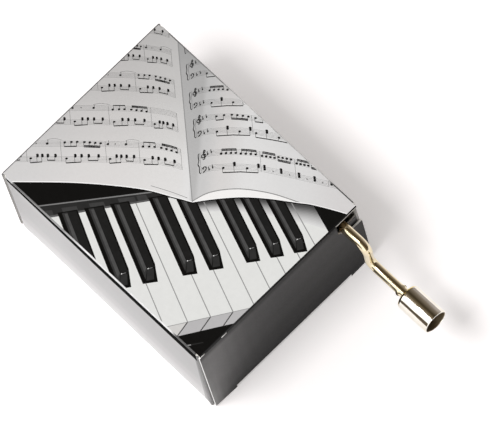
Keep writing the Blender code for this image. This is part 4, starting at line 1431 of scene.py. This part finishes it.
def flat_board(name, face, back, finishes):
    """A board between two matching outlines, with its face, back and cut edge."""
    count = len(face)
    faces = [tuple(range(count)), tuple(range(2 * count - 1, count - 1, -1))]
    for index in range(count):
        after = (index + 1) % count
        faces.append((index, index + count, after + count, after))
    return shaped(name, [*face, *back], faces, [0, 1] + [2] * count, finishes)


def tongue_outline(tip):
    """The tongue from its root to its rounded tip and back, as (x, y)."""
    outline = [(TONGUE_ROOT, -TONGUE_REACH)]
    outline += arc((tip + TONGUE_ROUND, TONGUE_ROUND - TONGUE_REACH), TONGUE_ROUND, 270.0, 180.0)
    outline += arc((tip + TONGUE_ROUND, TONGUE_REACH - TONGUE_ROUND), TONGUE_ROUND, 180.0, 90.0)
    return [*outline, (TONGUE_ROOT, TONGUE_REACH)]


def crease_path(radius, level):
    bend = arc((HALF_LENGTH - TUCK_FOLD, TUCK_TOP), radius, 0.0, -90.0)
    return [*bend, (TONGUE_ROOT, level)]


print("tongue", round(2 * TONGUE_REACH, 1), "mm wide")

# %% [markdown]
# The two ends
#
# Both ends are made by the same steps, mirrored, though they could be modelled one by one. Only the upper
# corner differs, which is cut out at the crank end, and the cut edge, which is painted grey at the back as
# shade. A tongue takes its length from the packed model, so the two can't disagree.

# %% The two ends
for end, end_name, upper, edge in (
    (1, "crank_end", CRANK_SIDE, CUT_EDGE),
    (-1, "back_end", BACK_SIDE, SHADED_CUT_EDGE),
):
    outline = [*LOWER_EDGE, *upper, (-HALF_WIDTH, PANEL_TOP)]
    panel = flat_board(
        f"{end_name}_cover",
        [(end * HALF_LENGTH, y, z) for y, z in outline],
        [(end * (HALF_LENGTH - BOARD), y, z) for y, z in outline],
        [END_PRINT_AND_SHEEN, RAW_BOARD, edge],
    )
    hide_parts(f"{end_name}_panel")
    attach(panel, f"{end_name}_flap")

    outer = crease_path(TUCK_FOLD, TONGUE_LOW)
    crease = swept_board(
        f"{end_name}_tuck_crease",
        mirrored(outer, end, 1),
        mirrored(crease_path(TUCK_FOLD - BOARD, TONGUE_LOW + BOARD), end, 1),
        [-TONGUE_REACH, TONGUE_REACH],
        along_y,
        [0] * (len(outer) - 1),
        [END_PRINT_AND_SHEEN, RAW_BOARD, RAW_BOARD],
    )
    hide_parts(f"{end_name}_tongue")
    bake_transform(crease)
    low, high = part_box(f"{end_name}_tongue")
    outline = tongue_outline(min(abs(low.x), abs(high.x)) / MM)
    tongue = flat_board(
        f"{end_name}_tuck_flap",
        [(end * x, y, TONGUE_LOW) for x, y in outline],
        [(end * x, y, TONGUE_LOW + BOARD) for x, y in outline],
        [END_PRINT_AND_SHEEN, RAW_BOARD, RAW_BOARD],
    )
    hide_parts(f"{end_name}_tongue")
    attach(tongue, f"{end_name}_tuck")
print("two closing panels and two tongues")

# %% [markdown]
# Bright plated metal
#
# The crank and knob are plated with a warm, bright nickel. A perfect mirror would
# look computed, so fine drawing marks run along the rod, and a little haze from
# handling changes the roughness. What makes it look like metal is what it
# reflects: the white floor, the pale lamp and the dim far side of the room.

# %% Plated metal
CRANK_Y = 19.75
FINE = (1.0, 0.25, 0.25)
# Painted shade on the rod where it enters the carton's slot.
HOLE_SHADE_STOPS = [(0.0312, (0.14, 0.10, 0.07)), (0.0322, (0.40, 0.32, 0.22)), (0.0332, 1.0)]
EAR_STOPS = [(0.00122, 1.0), (0.00136, (0.10, 0.08, 0.06))]


def plated_finish(name, color, stretch):
    made = new_finish(name, 0.12, 1.0)
    mottled(made, color, 500.0, 0.05, 3.0)
    rough_by_noise(made, 0.08, 0.12, 900.0, stretch)
    bumped(made, 2600.0, 0.0002, 0.15, stretch)
    return made


def rod_finish():
    """Plated wire, with painted shade where it enters the carton, and darker at the pinched ears."""
    made = plated_finish("plated_rod", (0.76, 0.67, 0.48), (0.08, 1.0, 1.0))
    plating = made.node_tree.nodes["Principled BSDF"].inputs["Base Color"].links[0].from_socket
    beside = calculated(made, "ABSOLUTE", along(made, Y_AXIS, -CRANK_Y * MM))
    hole_shade = fade(made, along(made, X_AXIS), HOLE_SHADE_STOPS)
    surface(made, {"Base Color": multiplied(made, plating, hole_shade, fade(made, beside, EAR_STOPS))})
    return made


def shaded_bore_finish():
    """Painted shade for the knob's bore: dull dark brownish steel."""
    made = new_finish("shaded_bore", 0.55, 0.6)
    mottled(made, tone(104, 90, 68), 900.0, 0.2, 3.0)
    bumped(made, 2400.0, 0.006, 0.5)
    return made


ROD_METAL = rod_finish()
KNOB_METAL = plated_finish("plated_knob", (0.84, 0.81, 0.73), FINE)
NOSE_METAL = plated_finish("rubbed_nose", (0.80, 0.64, 0.28), FINE)
SHADED_BORE = shaded_bore_finish()
print("four metal finishes")

# %% [markdown]
# Crank rod
#
# The rod is round wire bent twice in a press, so it keeps its thickness round the
# bends. Two small ears are pinched up on it to stop the knob from sliding inward.
# A curve with a round bevel would do, but a swept mesh of even rings lets the ears
# be swollen out of the same skin.

# %% Crank rod
CRANK_Z = 29.0
ROD = 1.25
ROD_CHAMFER = 0.25
ARM_X = 39.1
THROW = 9.1
BEND = 2.5
EASE = 1.3
KNOB_X = 50.3
KNOB_Z = CRANK_Z - THROW
BORE_X = KNOB_X + 1.5
EAR_X = KNOB_X - 1.3
EAR_HALF = 0.55
EAR_SPREAD = 1.3 * EAR_HALF
EAR_RISE = 0.32
EAR_SIDE = 0.55
ROUND = 32

rod_low, rod_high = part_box("crank_rod")
path = [(x, CRANK_Z) for x in (rod_low.x / MM, 24.0, 28.0, 32.0, 34.5)]
path += arc((ARM_X - BEND, CRANK_Z - BEND), BEND, 90.0, 0.0, 14)
path += [(ARM_X, CRANK_Z - BEND - EASE), (ARM_X, KNOB_Z + BEND + EASE)]
path += arc((ARM_X + BEND, KNOB_Z + BEND), BEND, 180.0, 270.0, 14)
path += [(x, KNOB_Z) for x in (44.5, 46.5)]
path += [(EAR_X + EAR_HALF * step / 4, KNOB_Z) for step in range(-5, 6)]
path += [(x, KNOB_Z) for x in (KNOB_X + 1.0, rod_high.x / MM - ROD_CHAMFER, rod_high.x / MM)]


def rod_ring(index):
    """The corners of one ring, square to the path and swollen at the ears."""
    x, z = path[index]
    before, after = path[max(index - 1, 0)], path[min(index + 1, len(path) - 1)]
    ahead = Vector((after[0] - before[0], 0.0, after[1] - before[1])).normalized()
    up = Vector((-ahead.z, 0.0, ahead.x))
    radius = ROD - (ROD_CHAMFER if index in (0, len(path) - 1) else 0.0)
    swell = 0.0
    if abs(x - EAR_X) < EAR_SPREAD and abs(z - KNOB_Z) < 0.01:
        swell = EAR_RISE * math.cos(math.pi * (x - EAR_X) / (2 * EAR_SPREAD)) ** 2
    ring = []
    for turn in range(ROUND):
        angle = 2 * math.pi * turn / ROUND
        side = math.cos(angle)
        grow = swell * max(0.0, abs(side) - EAR_SIDE) / (1.0 - EAR_SIDE)
        place = Vector((x, CRANK_Y, z)) + Vector(Y_AXIS) * side * (radius + grow)
        ring.append(place + up * math.sin(angle) * radius)
    return ring


def ring_faces(rings, around, closed=False):
    """Faces between rings of corners; closed joins the last ring to the first."""
    faces = []
    for ring in range(rings if closed else rings - 1):
        base, following = ring * around, (ring + 1) % rings * around
        for turn in range(around):
            after = (turn + 1) % around
            faces.append((base + turn, base + after, following + after, following + turn))
    return faces


verts = [place for index in range(len(path)) for place in rod_ring(index)]
faces = ring_faces(len(path), ROUND)
faces += [tuple(range(ROUND)), tuple(range(len(verts) - ROUND, len(verts)))]
# Inside the knob the rod's end takes the bore's painted shade.
inks = [int((a[0] + b[0]) / 2 > BORE_X) for a, b in zip(path, path[1:]) for _ in range(ROUND)]
rod = shaped("crank_wire", verts, faces, [*inks, 0, 1], [ROD_METAL, SHADED_BORE], smooth=2)
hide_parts("crank_rod")
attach(rod, "crank")
print("rod of", len(path), "rings")

# %% [markdown]
# Knob
#
# The knob is a thin cap turned from tube, rounded at the rod's end and open at the other, where its thin wall
# and the bore, painted dark as shade, show. It is a profile turned round the rod's axis, with a tiny chamfer
# on the rim that catches the light.

# %% Knob
KNOB = 3.22
KNOB_LENGTH = 9.4
KNOB_START = 50.6
KNOB_WALL = 0.35
BORE = KNOB - KNOB_WALL
BORE_START = 1.5
HOLE = ROD + 0.25
NOSE_LENGTH = 0.9
NOSE_DEPTH = 1.65
NOSE_STEP = 1.1
NOSE_END = 0.62
NOSE_POINTS = 12
TURN_STEPS = 96
SHARP_ANGLE = 40.0

profile = [(HOLE, NOSE_DEPTH), (HOLE, 0.12), (HOLE + 0.12, 0.0)]
for index in range(NOSE_POINTS + 1):
    angle = math.radians(90.0 - 90.0 * index / NOSE_POINTS)
    profile.append((KNOB - NOSE_STEP * (1.0 - math.cos(angle)), NOSE_LENGTH * (1.0 - math.sin(angle))))
profile += [(KNOB, 1.3), (KNOB, 5.0), (KNOB, KNOB_LENGTH - 0.16)]
profile += [(KNOB - 0.05, KNOB_LENGTH - 0.05), (KNOB - 0.12, KNOB_LENGTH)]
profile += [(BORE + 0.06, KNOB_LENGTH), (BORE, KNOB_LENGTH - 0.08)]
profile += [(BORE, 6.0), (BORE, NOSE_DEPTH + 0.3), (BORE - 0.3, NOSE_DEPTH)]


def knob_ink(a, b):
    """Bright outside, rubbed at the nose, or painted shade in the bore."""
    reach = (a[1] + b[1]) / 2
    if max(a[0], b[0]) < BORE + 0.01 and reach > BORE_START:
        return 2
    return 1 if reach < NOSE_END else 0


verts = []
for radius, reach in profile:
    for turn in range(TURN_STEPS):
        angle = 2 * math.pi * turn / TURN_STEPS
        y, z = CRANK_Y + radius * math.cos(angle), KNOB_Z + radius * math.sin(angle)
        verts.append((KNOB_START + reach, y, z))
faces = ring_faces(len(profile), TURN_STEPS, closed=True)
bands = [knob_ink(a, b) for a, b in zip(profile, profile[1:] + profile[:1])]
inks = [ink for ink in bands for _ in range(TURN_STEPS)]
knob = shaped("turned_knob", verts, faces, inks, [KNOB_METAL, NOSE_METAL, SHADED_BORE], 3, SHARP_ANGLE)
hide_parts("knob")
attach(knob, "crank_knob")
print("knob profile of", len(profile), "points")

# %% [markdown]
# Finishes of the movement
#
# The pieces inside keep their imported shapes and get real finishes: planed wood, satin die-cast metal,
# ground steel, brass and natural nylon. They show when an end panel is open. Only the knob's retainer takes
# the bore's painted shade instead.

# %% Finishes of the movement
def wood_finish():
    made = new_finish("planed_wood", 0.62)
    mottled(made, (0.60, 0.42, 0.25), 140.0, 0.22, 6.0, (0.12, 1.0, 1.0))
    bumped(made, 900.0, 0.03, 0.6, (0.08, 1.0, 1.0))
    return made


def metal_finish(name, color, low, high, scale, stretch=EVEN):
    made = new_finish(name, (low + high) / 2, 1.0)
    mottled(made, color, scale, 0.06, 3.0)
    rough_by_noise(made, low, high, scale * 2.0, stretch)
    bumped(made, scale * 4.0, 0.004, 0.5, stretch)
    return made


def nylon_finish():
    made = new_finish("natural_nylon", 0.5)
    mottled(made, (0.80, 0.78, 0.71), 500.0, 0.04)
    surface(made, {"Subsurface Weight": 0.15, "Subsurface Scale": 0.0006})
    bumped(made, 1800.0, 0.006, 0.5)
    return made


MOVEMENT = {
    "softwood": wood_finish(),
    "zinc_casting": metal_finish("cast_zinc", (0.60, 0.60, 0.58), 0.38, 0.55, 500.0),
    "spring_steel": metal_finish("ground_steel", (0.56, 0.57, 0.59), 0.22, 0.36, 700.0, (0.1, 1.0, 1.0)),
    "brass": metal_finish("turned_brass", (0.83, 0.63, 0.30), 0.20, 0.34, 600.0),
    "nylon": nylon_finish(),
    "raw_board": RAW_BOARD,
    "printed_board": FLAP_BOARD,
}
REPLACED = {"carton_sleeve", "crank_end_panel", "crank_end_tongue", "back_end_panel", "back_end_tongue"}
REPLACED |= {"crank_rod", "knob"}
count = 0
for part in frame["record"]["subparts"]:
    name = part["node"]
    if name in REPLACED:
        continue
    for slot in frame["nodes"][name].material_slots:
        # The retainer inside the knob takes the bore's painted shade.
        slot.material = SHADED_BORE if name == "knob_retainer" else MOVEMENT[part["material_slot"]]
        count += 1
print("finishes set on", count, "slots")

# %% [markdown]
# Size and finish
#
# The imported box and the box of what is shown are gathered in one table, and the size of what is shown is
# printed.

# %% Size and finish
shown_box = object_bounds()
boxes = {"cad": cad_box, "visual": shown_box}
plain = {key: [[float(value) for value in corner] for corner in box] for key, box in boxes.items()}
print("shown", [round((b - a) / MM, 1) for a, b in zip(*plain["visual"])], "mm")
